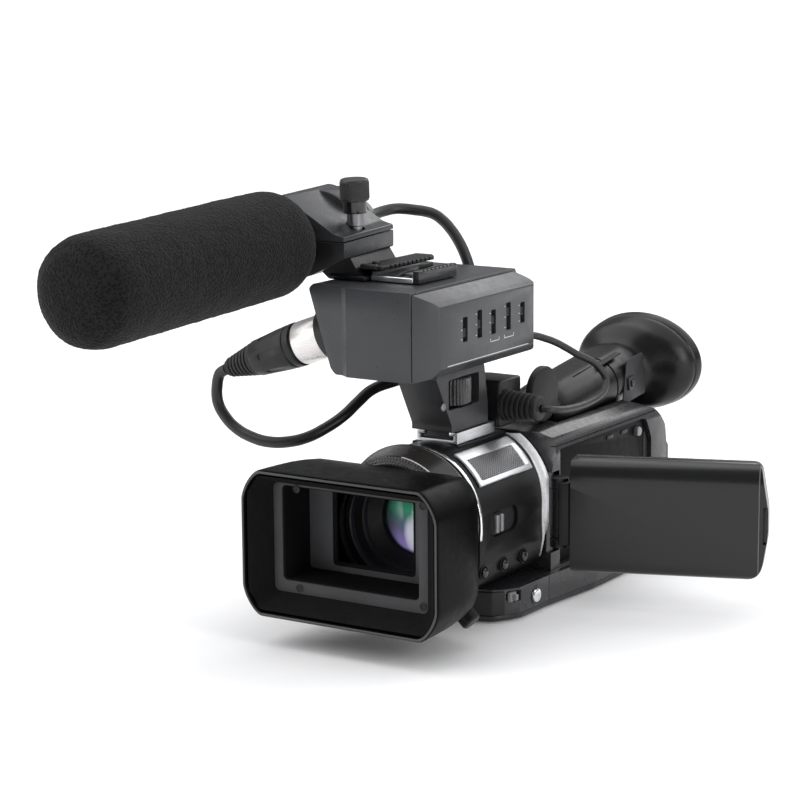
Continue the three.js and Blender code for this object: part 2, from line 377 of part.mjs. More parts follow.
// --------------------------------------- microphone, holder, windscreen
{
  const at = [MIC_X, MIC_Y, MIC_Z];
  const tip = m => turned(m, MIC_TILT, [1, 0, 0], at);
  const c = [MIC_X, MIC_Z];
  const y0 = 52.6, y1 = 91;
  // jaws: rounded over the tube, running to a thin flange on the screw side
  const up = [[-19, 0.2], [-18.6, 6], [-15.5, 12.4], [-10, 16.8], [-4.5, 18.2], [-1.2, 17.8], [23, 3.5], [28, 2.3], [28.2, 0.2]];
  const dn = [[-19, -0.2], [-18.6, -6], [-15, -11.5], [-9, -15.4], [-1, -17.2], [7, -16.2], [11.7, -14.6], [28, -7], [28.2, -0.2]].reverse();
  const off = p => p.map(q => [q[0] + c[0], q[1] + c[1]]);
  const k = [c[0] + 22.4, 70.5];
  const bolt = cyl('z', k, 3.5, c[1] - 20, c[1] + 20, 16);
  const bore = cyl('y', c, MIC_R + GAP, y0 - 2, y1 + 2, 28);
  const hump = both(cyl('y', c, 17.6, 77, y1, 28), block(c[0] - 20, c[0] + 20, 70, 100, c[1] + 0.2, c[1] + 20));
  add('mic_clamp_jaw', tip(cut(join(prism('y', off(up), y0, y1), hump), bore, bolt, cyl('z', k, 4, c[1] + 4.1, c[1] + 20, 16))), GREY, 0.4);
  // lower jaw with the pillar that stands on the adapter
  const foot = join(block(-41, -22.6, 57, 112, 102.3, 104.4), prism('y', [[-46, 108], [-41.4, 102.3], [-25.6, 102.3], [-25.6, 104.6], [-31.4, 113], [-34, 116], [-46, 116]], 58, 90));
  add('mic_holder_base', join(cut(tip(prism('y', off(dn), y0, y1)), tip(bore), tip(bolt)),
    cut(foot, tip(cyl('y', c, 15.6, 0, 140, 28)), tip(prism('y', off([[40, 0], [40, 60], [-40, 60], [-40, 0]]), 0, 140)), tip(prism('y', off([[11, -0.1], [29, -0.1], [28.4, -6.4], [12, -14]].reverse()), 0, 140)), tip(bolt))), DARK, 0.45);
  add('clamp_knob', tip(join(cyl('z', k, 2.8, c[1] - 5, c[1] + 4.6, 14), cyl('z', k, 3.6, c[1] + 4.4, c[1] + 10, 16), cyl('z', k, 5.1, c[1] + 9.8, c[1] + 15.2, 18), cyl('z', k, 6.4, c[1] + 15, c[1] + 24.6, 24))), BLACK, 0.4);
  add('mic_tube', tip(cut(join(cyl('y', c, MIC_R, -60, 106, 24), cyl('y', c, 6, 105, 112, 20)), cyl('y', c, 9, -61, 103, 24))), BLACK, 0.35);
  const R = FOAM_R, a = -92, b = 47;
  const prof = [[0, a], [R * 0.62, a + 1.2], [R * 0.88, a + 6], [R, a + 15], [R, b - 12], [R * 0.92, b - 5], [R * 0.7, b - 1], [MIC_R + GAP, b], [MIC_R + GAP, -60.6], [0, -60.6]];
  const foam = new THREE.LatheGeometry(prof.map(p => new THREE.Vector2(p[0], p[1])), 32);
  add('windscreen', tip(solid(foam.translate(c[0], 0, c[1]))), FOAM, 1);

  // plug in the first socket, square to the slanted side
  const slant = m => turned(m, -20, [0, 1, 0], [-37, 0, 80]);
  add('xlr_plug', slant(join(cyl('x', [56, 80], 9.5, -56, -28, 24), cyl('x', [56, 80], 7.6, -80, -55.8, 24, 9.6), cyl('x', [56, 80], 3.4, -97, -79.8, 20, 7.4))), 0x2a2a2c, 0.4);
}

// ------------------------------------------------------------------- cords
{
  // microphone cable: out of the microphone's tail, round behind the adapter, under it and
  // forward past the grip side, back up into the plug
  const MIC_CABLE = [
    [-58, 112.5, 121.2], [-58, 122, 122.6], [-54.5, 131, 123.8], [-48, 137, 123], [-40, 140.5, 121.2], [-32.6, 142, 115.2], [-25, 142, 104.2], [-20.5, 141.5, 90], [-20, 140, 76],
    [-23, 133, 63], [-32, 117, 54], [-44.4, 95, 48.2], [-49, 80, 39], [-59, 65, 30.6], [-74, 58, 28.4], [-90.4, 56.2, 33.4], [-99.2, 56, 43], [-99.8, 56, 51], [-98, 56, 56.8], [-94.4, 56, 59]];
  add('mic_cable', tube(MIC_CABLE, 2.5, 8, 56), BLACK, 0.6);
  const ADAPTER_CABLE = [[14.5, 131.9, 72], [15.8, 134.8, 71.4], [22, 140.5, 68.4], [28, 150.5, 61.8], [33, 156.5, 57.6], [37, 159.5, 51], [38.4, 155.5, 46], [38, 143, 42.8], [37.4, 126, 42.6], [36.4, 117.6, 43.4], [34.2, 113.6, 44], [31.2, 113, 44]];
  add('adapter_cable', tube(ADAPTER_CABLE, 1.6, 8, 36), BLACK, 0.6);
  add('adapter_plug', join(prism('z', rounded(-6, 13, 108.6, 127, 2.5, 2), 34.5, 55), cyl('x', [113, 44], 6.6, 12, 30.4, 20, 5.2)), BLACK, 0.5);
  add('jack_cap', cyl('x', [139, 45], 12.4, 14.6, 18.6, 24), BLACK, 0.7);
}

export default root;
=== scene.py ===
# Looks of the camcorder with its microphone adapter, shotgun microphone and screen.
# Pieces are drawn in millimetres from the centre of the lens hood's rim and then placed in the shared frame.
import bpy, bmesh, math, random
import numpy as np
from math import radians, sin, cos, pi
from mathutils import Vector, Matrix


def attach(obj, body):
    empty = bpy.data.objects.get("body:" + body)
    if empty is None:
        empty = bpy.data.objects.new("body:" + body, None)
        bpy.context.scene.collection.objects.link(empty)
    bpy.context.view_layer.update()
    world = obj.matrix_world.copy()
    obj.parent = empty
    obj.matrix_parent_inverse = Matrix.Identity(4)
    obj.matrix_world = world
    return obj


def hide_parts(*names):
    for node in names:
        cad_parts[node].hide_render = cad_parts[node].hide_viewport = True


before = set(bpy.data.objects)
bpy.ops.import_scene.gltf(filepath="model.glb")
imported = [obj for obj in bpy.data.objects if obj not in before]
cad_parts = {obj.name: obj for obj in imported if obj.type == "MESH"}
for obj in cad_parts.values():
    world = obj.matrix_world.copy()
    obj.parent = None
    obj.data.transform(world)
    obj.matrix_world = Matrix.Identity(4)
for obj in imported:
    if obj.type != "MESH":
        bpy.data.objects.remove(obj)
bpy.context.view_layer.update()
random.seed(7)
COL = bpy.context.scene.collection
AX = 2.5                                  # lens axis height


# ------------------------------------------------------------------ placing
def P(x, y, z):
    return (x / 1000, (y - 130) / 1000, (z + 43) / 1000)


TO_ROW = Matrix.Scale(0.001, 4) @ Matrix.Translation((0, -130, 43))


def about(deg, axis, at):
    return Matrix.Translation(at) @ Matrix.Rotation(radians(deg), 4, Vector(axis)) @ Matrix.Translation([-a for a in at])


OPEN = about(-70, (0, 0, 1), (36.6, 118.5, 0))
VF = about(8, (1, 0, 0), (5, 160, 33))
TIP = about(2.5, (1, 0, 0), (-58, 52, 118.6))
SLANT = about(-20, (0, 1, 0), (-37, 0, 80))
RADIAL = about(43, (0, 1, 0), (0, 0, AX))


# ------------------------------------------------------------------- camera
cam = bpy.data.cameras.new("camera")
cam.sensor_width = 36
cam.lens = 112.59
cam.clip_start, cam.clip_end = 0.05, 20
co = bpy.data.objects.new("camera", cam)
COL.objects.link(co)
Rr = ((0.8438839491, 0.5364695578, -0.0077649218), (-0.0945545478, 0.1629522805, 0.9820926595), (-0.5281281264, 0.8280380232, -0.1882384505))
co.matrix_world = Matrix(((Rr[0][0], Rr[1][0], -Rr[2][0], 0.54652395), (Rr[0][1], Rr[1][1], -Rr[2][1], -0.93864687),
                          (Rr[0][2], Rr[1][2], -Rr[2][2], 0.29345964), (0, 0, 0, 1)))
bpy.context.scene.camera = co


# ---------------------------------------------------------------- materials
class Mat:
    def __init__(self, name):
        self.m = bpy.data.materials.new(name)
        self.m.use_nodes = True
        self.N, self.L = self.m.node_tree.nodes, self.m.node_tree.links
        self.N.clear()
        self.out = self.N.new("ShaderNodeOutputMaterial")
        self.b = self.N.new("ShaderNodeBsdfPrincipled")
        self.L.new(self.b.outputs[0], self.out.inputs[0])
        self.tc = self.N.new("ShaderNodeTexCoord")

    def new(self, kind, **ins):
        n = self.N.new(kind)
        for k, v in ins.items():
            if k.startswith("_"):
                setattr(n, k[1:], v)
            else:
                n.inputs[k.replace("_", " ")].default_value = v
        return n

    def coords(self, scale=(1, 1, 1), rot=(0, 0, 0)):
        mp = self.new("ShaderNodeMapping")
        mp.inputs["Scale"].default_value = scale
        mp.inputs["Rotation"].default_value = rot
        self.L.new(self.tc.outputs["Object"], mp.inputs["Vector"])
        return mp.outputs[0]

    def noise(self, scale, detail=3.0, rough=0.55, stretch=None, rot=(0, 0, 0)):
        n = self.new("ShaderNodeTexNoise", Scale=scale, Detail=detail, Roughness=rough)
        self.L.new(self.coords(stretch, rot) if stretch else self.tc.outputs["Object"], n.inputs["Vector"])
        return n.outputs["Fac"]

    def ramp(self, sock, a, b, lo=0.35, hi=0.65):
        r = self.new("ShaderNodeValToRGB")
        r.color_ramp.elements[0].position, r.color_ramp.elements[1].position = lo, hi
        r.color_ramp.elements[0].color, r.color_ramp.elements[1].color = (*a, 1), (*b, 1)
        self.L.new(sock, r.inputs[0])
        return r.outputs[0]

    def rng(self, sock, a, b, lo=0.3, hi=0.7):
        r = self.new("ShaderNodeMapRange", From_Min=lo, From_Max=hi, To_Min=a, To_Max=b)
        self.L.new(sock, r.inputs[0])
        return r.outputs[0]

    def bump(self, sock, strength, distance, normal=None):
        bn = self.new("ShaderNodeBump", Strength=strength, Distance=distance)
        self.L.new(sock, bn.inputs["Height"])
        if normal is not None:
            self.L.new(normal, bn.inputs["Normal"])
        return bn.outputs[0]

    def set(self, **kw):
        for k, v in kw.items():
            s = self.b.inputs[k.replace("_", " ")]
            if isinstance(v, bpy.types.NodeSocket):
                self.L.new(v, s)
            else:
                s.default_value = v


def tone(c, k):
    return tuple(min(1.0, x * k) for x in c)


def plastic(name, col, rough=0.4, grain=0.3, gs=2600, var=0.10, rv=0.07, metal=0.0, coat=0.0, spec=0.5, dist=0.00006, coat_r=0.2):
    m = Mat(name)
    soft = m.noise(45, 4)
    fine = m.noise(gs, 2, 0.6)
    smudge = m.noise(230, 5, 0.7)
    m.set(Base_Color=m.ramp(soft, tone(col, 1 - var), tone(col, 1 + var)), Roughness=m.rng(smudge, rough - rv, rough + rv),
          Metallic=metal, Specular_IOR_Level=spec, Coat_Weight=coat, Coat_Roughness=coat_r,
          Normal=m.bump(fine, grain, dist))
    return m.m


def brushed(name, col, rough=0.3, stretch=(1, 60, 60), rot=(0, 0, 0), strength=0.25):
    m = Mat(name)
    lines = m.noise(60, 6, 0.7, stretch, rot)
    spots = m.noise(160, 4)
    m.set(Base_Color=m.ramp(lines, tone(col, 0.86), tone(col, 1.06)), Metallic=1.0, Roughness=m.rng(spots, rough - 0.06, rough + 0.08),
          Normal=m.bump(lines, strength, 0.00003))
    return m.m


def foam_mat():
    m = Mat("windscreen_foam")
    v = m.new("ShaderNodeTexVoronoi", Scale=900.0, Randomness=1.0)
    m.L.new(m.tc.outputs["Object"], v.inputs["Vector"])
    n = m.noise(1500, 4, 0.7)
    big = m.noise(38, 4)
    cell = m.ramp(v.outputs["Distance"], (0.0022, 0.0022, 0.0023), (0.0150, 0.0150, 0.0152), 0.08, 0.62)
    mx = m.new("ShaderNodeMix", _data_type="RGBA", _blend_type="MULTIPLY")
    mx.inputs[0].default_value = 0.55
    m.L.new(cell, mx.inputs[6])
    m.L.new(m.ramp(big, (0.75, 0.75, 0.75), (1, 1, 1)), mx.inputs[7])
    m.set(Base_Color=mx.outputs[2], Roughness=0.98, Specular_IOR_Level=0.06, Sheen_Weight=0.07, Sheen_Roughness=0.5,
          Normal=m.bump(v.outputs["Distance"], 0.9, 0.0004, m.bump(n, 0.6, 0.0003)))
    return m.m


def weave_mat(name, col, scale=900):
    m = Mat(name)
    w1 = m.new("ShaderNodeTexWave", Scale=scale / 6.28, Distortion=0.4, _bands_direction="Z")
    w2 = m.new("ShaderNodeTexWave", Scale=scale / 6.28, Distortion=0.4, _bands_direction="Y")
    for w in (w1, w2):
        m.L.new(m.tc.outputs["Object"], w.inputs["Vector"])
    mul = m.new("ShaderNodeMath", _operation="MULTIPLY")
    m.L.new(w1.outputs["Fac"], mul.inputs[0])
    m.L.new(w2.outputs["Fac"], mul.inputs[1])
    fuzz = m.noise(2400, 3)
    m.set(Base_Color=m.ramp(mul.outputs[0], tone(col, 0.6), tone(col, 1.5), 0.1, 0.9), Roughness=m.rng(fuzz, 0.75, 0.95), Sheen_Weight=0.4,
          Specular_IOR_Level=0.25, Normal=m.bump(mul.outputs[0], 0.6, 0.00025, m.bump(fuzz, 0.3, 0.0001)))
    return m.m


def coating(name, tint, strength, power=0.0):
    """thin clear element with a coloured reflection"""
    m = Mat(name)
    m.N.remove(m.b)
    tr = m.new("ShaderNodeBsdfTransparent")
    gl = m.new("ShaderNodeBsdfGlossy", Color=(*tint, 1), Roughness=0.03)
    fr = m.new("ShaderNodeFresnel", IOR=1.6)
    ad = m.new("ShaderNodeMath", _operation="MULTIPLY_ADD")
    ad.inputs[1].default_value = strength
    ad.inputs[2].default_value = power
    m.L.new(fr.outputs[0], ad.inputs[0])
    n = m.noise(70, 2)
    rg = m.rng(n, 0.92, 1.0)
    mu = m.new("ShaderNodeMath", _operation="MULTIPLY", _use_clamp=True)
    m.L.new(ad.outputs[0], mu.inputs[0])
    m.L.new(rg, mu.inputs[1])
    mx = m.new("ShaderNodeMixShader")
    m.L.new(mu.outputs[0], mx.inputs[0])
    m.L.new(tr.outputs[0], mx.inputs[1])
    m.L.new(gl.outputs[0], mx.inputs[2])
    m.L.new(mx.outputs[0], m.out.inputs[0])
    return m.m


def painted_reflection_block():
    """inner lens block: dark glass with a painted reflection, green above turning to violet below"""
    m = Mat("lens_block_painted_reflection")
    sep = m.new("ShaderNodeSeparateXYZ")
    m.L.new(m.tc.outputs["Object"], sep.inputs[0])
    n = m.noise(60, 2, 0.4)
    off = m.rng(n, -0.0012, 0.0012)
    ad = m.new("ShaderNodeMath", _operation="ADD")
    m.L.new(sep.outputs[2], ad.inputs[0])
    m.L.new(off, ad.inputs[1])
    r = m.new("ShaderNodeMapRange", From_Min=(43 + AX - 12) / 1000, From_Max=(43 + AX + 12) / 1000)
    m.L.new(ad.outputs[0], r.inputs[0])
    cr = m.new("ShaderNodeValToRGB")
    e = cr.color_ramp.elements
    e[0].position, e[0].color = 0.0, (0.020, 0.010, 0.045, 1)
    e[1].position, e[1].color = 1.0, (0.008, 0.016, 0.013, 1)
    for p_, c_ in ((0.30, (0.16, 0.10, 0.30, 1)), (0.47, (0.10, 0.10, 0.17, 1)), (0.60, (0.02, 0.10, 0.075, 1)), (0.80, (0.015, 0.085, 0.055, 1))):
        el = e.new(p_)
        el.color = c_
    m.L.new(r.outputs[0], cr.inputs[0])
    m.set(Base_Color=cr.outputs[0], Roughness=0.08, Coat_Weight=1.0, Coat_Roughness=0.02, Specular_IOR_Level=0.8)
    return m.m


def painted_reflection_front_glass():
    """front element: painted reflection of the lights, green above, violet below, a painted highlight brightest near
    its middle, dark at the rim; the painted colour also glows
    """
    m = Mat("front_glass_painted_reflection_glow")
    sep = m.new("ShaderNodeSeparateXYZ")
    m.L.new(m.tc.outputs["Object"], sep.inputs[0])
    def mr(sock, a, b, c=0.0, d=1.0, smooth=True):
        n = m.new("ShaderNodeMapRange", From_Min=a, From_Max=b, To_Min=c, To_Max=d)
        if smooth:
            n.interpolation_type = "SMOOTHSTEP"
        m.L.new(sock, n.inputs[0])
        return n.outputs[0]
    def mul(a, b, op="MULTIPLY"):
        n = m.new("ShaderNodeMath", _operation=op)
        for i, q in enumerate((a, b)):
            if isinstance(q, (int, float)):
                n.inputs[i].default_value = q
            else:
                m.L.new(q, n.inputs[i])
        return n.outputs[0]
    zc = (43 + AX) / 1000
    x, z = sep.outputs[0], sep.outputs[2]
    # bend the painted reflection bands with the curve of the glass
    bend = mul(mul(x, x), 9.0)
    t = mr(mul(z, bend, "SUBTRACT"), zc - 0.0165, zc + 0.0125, smooth=False)
    cr = m.new("ShaderNodeValToRGB")
    e = cr.color_ramp.elements
    e[0].position, e[0].color = 0.0, (0.012, 0.010, 0.060, 1)
    e[1].position, e[1].color = 1.0, (0.006, 0.060, 0.030, 1)
    for p_, c_ in ((0.05, (0.020, 0.015, 0.10, 1)), (0.12, (0.30, 0.24, 0.55, 1)), (0.26, (0.24, 0.19, 0.46, 1)), (0.42, (0.13, 0.13, 0.22, 1)), (0.56, (0.07, 0.15, 0.15, 1)),
                   (0.70, (0.05, 0.24, 0.15, 1)), (0.86, (0.02, 0.15, 0.08, 1))):
        el = e.new(p_)
        el.color = c_
    m.L.new(t, cr.inputs[0])
    # painted reflection streaks above, a pale painted highlight below the middle
    n1 = m.noise(95, 1.5, 0.4, (1.9, 1, 0.35), (0, 0.5, 0))
    painted_streak = mul(mr(n1, 0.50, 0.70), mr(z, zc - 0.002, zc + 0.004))
    painted_streak = mul(painted_streak, mr(x, -0.0105, -0.0035))
    d1 = mul(mul(mul(x, -0.0005, "SUBTRACT"), mul(x, -0.0005, "SUBTRACT")), 5.0)
    d2 = mul(mul(z, zc - 0.0072, "SUBTRACT"), mul(z, zc - 0.0072, "SUBTRACT"))
    pale = mr(mul(d1, d2, "ADD"), 0.00011, 0.0)
    add = mul(mul(painted_streak, 0.40), mul(pale, 0.80), "ADD")
    mx = m.new("ShaderNodeMix", _data_type="RGBA", _blend_type="MIX")
    m.L.new(add, mx.inputs[0])
    m.L.new(cr.outputs[0], mx.inputs[6])
    mx.inputs[7].default_value = (0.80, 0.82, 0.92, 1)
    r2 = mul(mul(x, x), mul(mul(z, zc, "SUBTRACT"), mul(z, zc, "SUBTRACT")), "ADD")
    edge = mr(r2, 0.0155 ** 2, 0.0128 ** 2)
    side = mr(x, -0.0145, -0.006, 0.25, 1.0)
    fac = mul(edge, side)
    m2 = m.new("ShaderNodeMix", _data_type="RGBA", _blend_type="MIX")
    m.L.new(fac, m2.inputs[0])
    m2.inputs[6].default_value = (0.004, 0.010, 0.008, 1)
    m.L.new(mx.outputs[2], m2.inputs[7])
    sm = m.noise(120, 3)
    # the painted colour is also emitted, a faint painted glow of the front glass
    m.set(Base_Color=m2.outputs[2], Roughness=m.rng(sm, 0.10, 0.16), Coat_Weight=1.0, Coat_Roughness=0.02, Specular_IOR_Level=0.6,
          Emission_Color=m2.outputs[2], Emission_Strength=0.55)
    return m.m


M = {}
M["hood"] = plastic("hood_satin_plastic", (0.0016, 0.0016, 0.0018), 0.32, 0.35, 3000, spec=0.05)
# lip: lighter copy of the hood plastic, a painted highlight on the rim's front face
M["lip"] = plastic("hood_lip_painted_highlight", (0.030, 0.030, 0.031), 0.34, 0.2, 3000, spec=0.6)
M["inner"] = plastic("hood_inner_flocking", (0.0055, 0.0055, 0.0055), 0.75, 0.6, 1600, spec=0.10)
M["band"] = plastic("hood_mask_band", (0.038, 0.038, 0.040), 0.5, 0.3, 2400, spec=0.35)
M["plate"] = plastic("hood_window_plate", (0.058, 0.059, 0.062), 0.5, 0.3, 2400, spec=0.4)
M["vfplate"] = plastic("viewfinder_side_plate", (0.030, 0.030, 0.033), 0.45, 0.2, 2600, spec=0.3)
M["vfbody"] = plastic("viewfinder_satin", (0.0042, 0.0042, 0.0046), 0.33, 0.2, 2600, var=0.05, spec=0.26)
M["gloss"] = plastic("gloss_black_ring", (0.008, 0.0075, 0.0075), 0.18, 0.05, 1500, coat=0.4, spec=0.45)
M["barrel"] = plastic("lens_barrel_black", (0.010, 0.009, 0.009), 0.38, 0.2, 1500, spec=0.5)
M["ribs"] = plastic("focus_ring_rubber", (0.020, 0.016, 0.015), 0.22, 0.2, 1800, spec=0.6)
M["drum"] = plastic("drum_satin_black", (0.0085, 0.0085, 0.0090), 0.36, 0.12, 2800, var=0.04, rv=0.03, spec=0.22)
M["body"] = plastic("body_dark_grey", (0.0175, 0.0175, 0.0195), 0.29, 0.35, 2800, spec=0.6)
M["bay"] = plastic("bay_dark_panel", (0.0025, 0.0025, 0.0028), 0.48, 0.2, 2400, spec=0.10)
M["body2"] = plastic("base_dark_grey", (0.027, 0.027, 0.0295), 0.38, 0.4, 2600, spec=0.45)
M["black"] = plastic("black_moulding", (0.0075, 0.0075, 0.008), 0.42, 0.35, 2400, spec=0.35)
M["lcd"] = plastic("screen_lid_satin", (0.0048, 0.0048, 0.0052), 0.24, 0.15, 3200, var=0.05, rv=0.03, spec=0.46)
M["grey"] = plastic("adapter_grey_paint", (0.033, 0.0341, 0.0375), 0.33, 0.4, 2600)
M["grey2"] = plastic("holder_grey_paint", (0.024, 0.0250, 0.0275), 0.31, 0.45, 2200)
M["neck"] = plastic("neck_dark_plastic", (0.026, 0.026, 0.028), 0.42, 0.4, 2200)
M["rubber"] = plastic("soft_rubber", (0.013, 0.013, 0.0135), 0.52, 0.5, 2000, rv=0.05, spec=0.35)
M["cup"] = plastic("eyecup_soft_rubber", (0.0036, 0.0036, 0.0039), 0.31, 0.5, 2000, rv=0.05, spec=0.34)
M["cable"] = plastic("cable_jacket", (0.013, 0.013, 0.0138), 0.40, 0.25, 1600)
M["silver"] = brushed("satin_silver", (0.86, 0.87, 0.89), 0.34, (60, 1, 60))
M["chrome"] = brushed("bright_plating", (0.93, 0.94, 0.95), 0.16, (8, 8, 8), strength=0.05)
M["trim"] = plastic("bright_trim", (0.86, 0.86, 0.87), 0.28, 0.05, 1500, var=0.02, metal=0.1)
M["nickel"] = brushed("plug_nickel", (0.74, 0.715, 0.70), 0.30, (1, 40, 40), strength=0.12)
M["ribmetal"] = plastic("selector_grey_ribs", (0.22, 0.22, 0.23), 0.30, 0.2, 1500, metal=0.35)
M["steel"] = brushed("dark_steel", (0.22, 0.22, 0.23), 0.36, (1, 30, 30))
M["brass"] = brushed("bush_brass", (0.60, 0.45, 0.22), 0.3, (40, 40, 1))
M["grille"] = plastic("grille_wire", (0.30, 0.30, 0.31), 0.38, 0.2, 1500, metal=0.8)
M["dark"] = plastic("deep_black", (0.004, 0.004, 0.004), 0.6, 0.2, 1500)
# white: printed marks, and the painted highlight arc on the focus ring
M["white"] = plastic("white_print_and_painted_highlight", (0.55, 0.55, 0.55), 0.5, 0.1, 1500)
# greymark: grey switch and stitching, and the painted highlight in the screen lid's seam
M["greymark"] = plastic("grey_parts_and_painted_highlight", (0.20, 0.20, 0.21), 0.5, 0.1, 1500)
M["red"] = plastic("record_red", (0.42, 0.02, 0.02), 0.25, 0.1, 1500, coat=0.4)
M["screen"] = plastic("unlit_screen", (0.006, 0.007, 0.010), 0.12, 0.02, 800, coat=1.0)
M["wheel"] = plastic("wheel_satin_black", (0.045, 0.045, 0.047), 0.26, 0.2, 2000, metal=0.2, spec=0.7)
M["knob"] = plastic("knurled_black", (0.030, 0.029, 0.029), 0.36, 0.3, 2000, metal=0.3)
M["grip"] = plastic("grip_texture", (0.018, 0.018, 0.019), 0.6, 1.0, 900, dist=0.0004)
M["board"] = plastic("circuit_board", (0.012, 0.10, 0.045), 0.4, 0.8, 700)
M["strap"] = weave_mat("strap_webbing", (0.022, 0.022, 0.024))
M["foam"] = foam_mat()
M["coat_g"] = coating("green_coating", (0.25, 0.95, 0.62), 0.9, 0.05)
M["coat_v"] = coating("violet_coating", (0.72, 0.55, 1.0), 1.6, 0.10)
M["coat_b"] = coating("blue_coating", (0.75, 0.80, 1.0), 0.7, 0.02)
# inner lens block: its colour is a painted reflection
M["block"] = painted_reflection_block()
# front glass: painted reflection that also glows
M["frontglass"] = painted_reflection_front_glass()


# -------------------------------------------------------------- mesh helpers
def mesh(name, verts, faces):
    me = bpy.data.meshes.new(name)
    me.from_pydata([tuple(map(float, v)) for v in verts], [], faces)
    bm = bmesh.new()
    bm.from_mesh(me)
    bmesh.ops.remove_doubles(bm, verts=bm.verts, dist=1e-4)
    bmesh.ops.recalc_face_normals(bm, faces=bm.faces)
    bm.to_mesh(me)
    bm.free()
    o = bpy.data.objects.new(name, me)
    COL.objects.link(o)
    return o


def prism(axis, pts, a0, a1, name="p"):
    n = len(pts)
    f = {"x": lambda p, a: (a, p[0], p[1]), "y": lambda p, a: (p[0], a, p[1]), "z": lambda p, a: (p[0], p[1], a)}[axis]
    v = [f(p, a0) for p in pts] + [f(p, a1) for p in pts]
    return mesh(name, v, [tuple(range(n)), tuple(range(n, 2 * n))] + [(i, (i + 1) % n, n + (i + 1) % n, n + i) for i in range(n)])


def block(x0, x1, y0, y1, z0, z1):
    return prism("z", [(x0, y0), (x1, y0), (x1, y1), (x0, y1)], z0, z1)


def loft(loops, closed=False, name="l"):
    n, k = len(loops[0]), len(loops)
    v = [p for l in loops for p in l]
    fs = []
    for a in range(k if closed else k - 1):
        b = (a + 1) % k
        fs += [(a * n + i, a * n + (i + 1) % n, b * n + (i + 1) % n, b * n + i) for i in range(n)]
    if not closed:
        fs += [tuple(range(n)), tuple(range((k - 1) * n, k * n))]
    return mesh(name, v, fs)


def circle(axis, c, r, a, seg, ph=0.0):
    o = []
    for i in range(seg):
        t = 2 * pi * i / seg + ph
        u, w = c[0] + r * cos(t), c[1] + r * sin(t)
        o.append((a, u, w) if axis == "x" else (u, a, w) if axis == "y" else (u, w, a))
    return o


def cyl(axis, c, r, a0, a1, seg=64, r2=None):
    return loft([circle(axis, c, r, a0, seg), circle(axis, c, r if r2 is None else r2, a1, seg)])


def lathe(axis, c, prof, seg=128, closed=True):
    """prof: (radius, distance along the axis) points; closed makes a ring, otherwise the ends close on the axis"""
    if closed:
        return loft([circle(axis, c, r, a, seg) for r, a in prof], True)
    return loft([circle(axis, c, max(r, 1e-3), a, seg) for r, a in prof])


def rr(w, h, rx, rz=None, cx=0.0, cz=0.0, n=10, m=3):
    rz = rx if rz is None else rz
    cs = [(w / 2 - rx, -h / 2 + rz, -90), (w / 2 - rx, h / 2 - rz, 0), (-w / 2 + rx, h / 2 - rz, 90), (-w / 2 + rx, -h / 2 + rz, 180)]
    pts = []
    for k, (x, z, a) in enumerate(cs):
        for i in range(n + 1):
            t = radians(a + 90 * i / n)
            pts.append((cx + x + rx * cos(t), cz + z + rz * sin(t)))
        nx, nz, na = cs[(k + 1) % 4]
        t = radians(na)
        q, p = (cx + nx + rx * cos(t), cz + nz + rz * sin(t)), pts[-1]
        for j in range(1, m + 1):
            f = j / (m + 1)
            pts.append((p[0] + (q[0] - p[0]) * f, p[1] + (q[1] - p[1]) * f))
    return pts


def even(w, h, rx, rz, cx, cz, N):
    """the same outline sampled at N even steps from the middle of its lower side"""
    pts = np.array([(cx, cz - h / 2)] + rr(w, h, rx, rz, cx, cz, 24, 0) + [(cx, cz - h / 2)])
    d = np.concatenate([[0], np.cumsum(np.hypot(*np.diff(pts, axis=0).T))])
    s = np.linspace(0, d[-1], N, endpoint=False)
    return list(zip(np.interp(s, d, pts[:, 0]), np.interp(s, d, pts[:, 1])))


def smooth_keys(keys, ys):
    """monotone cubic through rows (y, values...)"""
    K = np.array(keys, float)
    x, out = K[:, 0], []
    for c in range(1, K.shape[1]):
        v = K[:, c]
        h, dl = np.diff(x), np.diff(v) / np.diff(x)
        m = np.zeros(len(x))
        m[0], m[-1] = dl[0], dl[-1]
        for i in range(1, len(x) - 1):
            m[i] = 0 if dl[i - 1] * dl[i] <= 0 else 3 * (h[i - 1] + h[i]) / ((2 * h[i] + h[i - 1]) / dl[i - 1] + (h[i] + 2 * h[i - 1]) / dl[i])
        r = []
        for y in ys:
            i = min(max(int(np.searchsorted(x, y)) - 1, 0), len(x) - 2)
            t = (y - x[i]) / h[i]
            r.append((2 * t**3 - 3 * t**2 + 1) * v[i] + (t**3 - 2 * t**2 + t) * h[i] * m[i] + (-2 * t**3 + 3 * t**2) * v[i + 1] + (t**3 - t**2) * h[i] * m[i + 1])
        out.append(r)
    return np.array(out).T


def fillet(pts, r, n=6):
    """polygon with rounded corners; r is one radius or one for each corner"""
    k, out = len(pts), []
    rs = [r] * k if not isinstance(r, (list, tuple)) else r
    for i in range(k):
        p, a, b = np.array(pts[i], float), np.array(pts[i - 1], float), np.array(pts[(i + 1) % k], float)
        u, v = (a - p) / np.linalg.norm(a - p), (b - p) / np.linalg.norm(b - p)
        ang = math.acos(max(-1, min(1, float(u @ v))))
        if rs[i] <= 0 or ang > pi - 0.02:
            out.append(tuple(p))
            continue
        d = min(rs[i] / math.tan(ang / 2), 0.49 * np.linalg.norm(a - p), 0.49 * np.linalg.norm(b - p))
        p0, p1 = p + u * d, p + v * d
        for j in range(n + 1):
            t = j / n
            out.append(tuple((1 - t)**2 * p0 + 2 * t * (1 - t) * p + t**2 * p1))
    return out


def bake(o):
    bpy.context.view_layer.update()
    dg = bpy.context.evaluated_depsgraph_get()
    me = bpy.data.meshes.new_from_object(o.evaluated_get(dg), depsgraph=dg)
    o.modifiers.clear()
    old = o.data
    o.data = me
    bpy.data.meshes.remove(old)
    return o


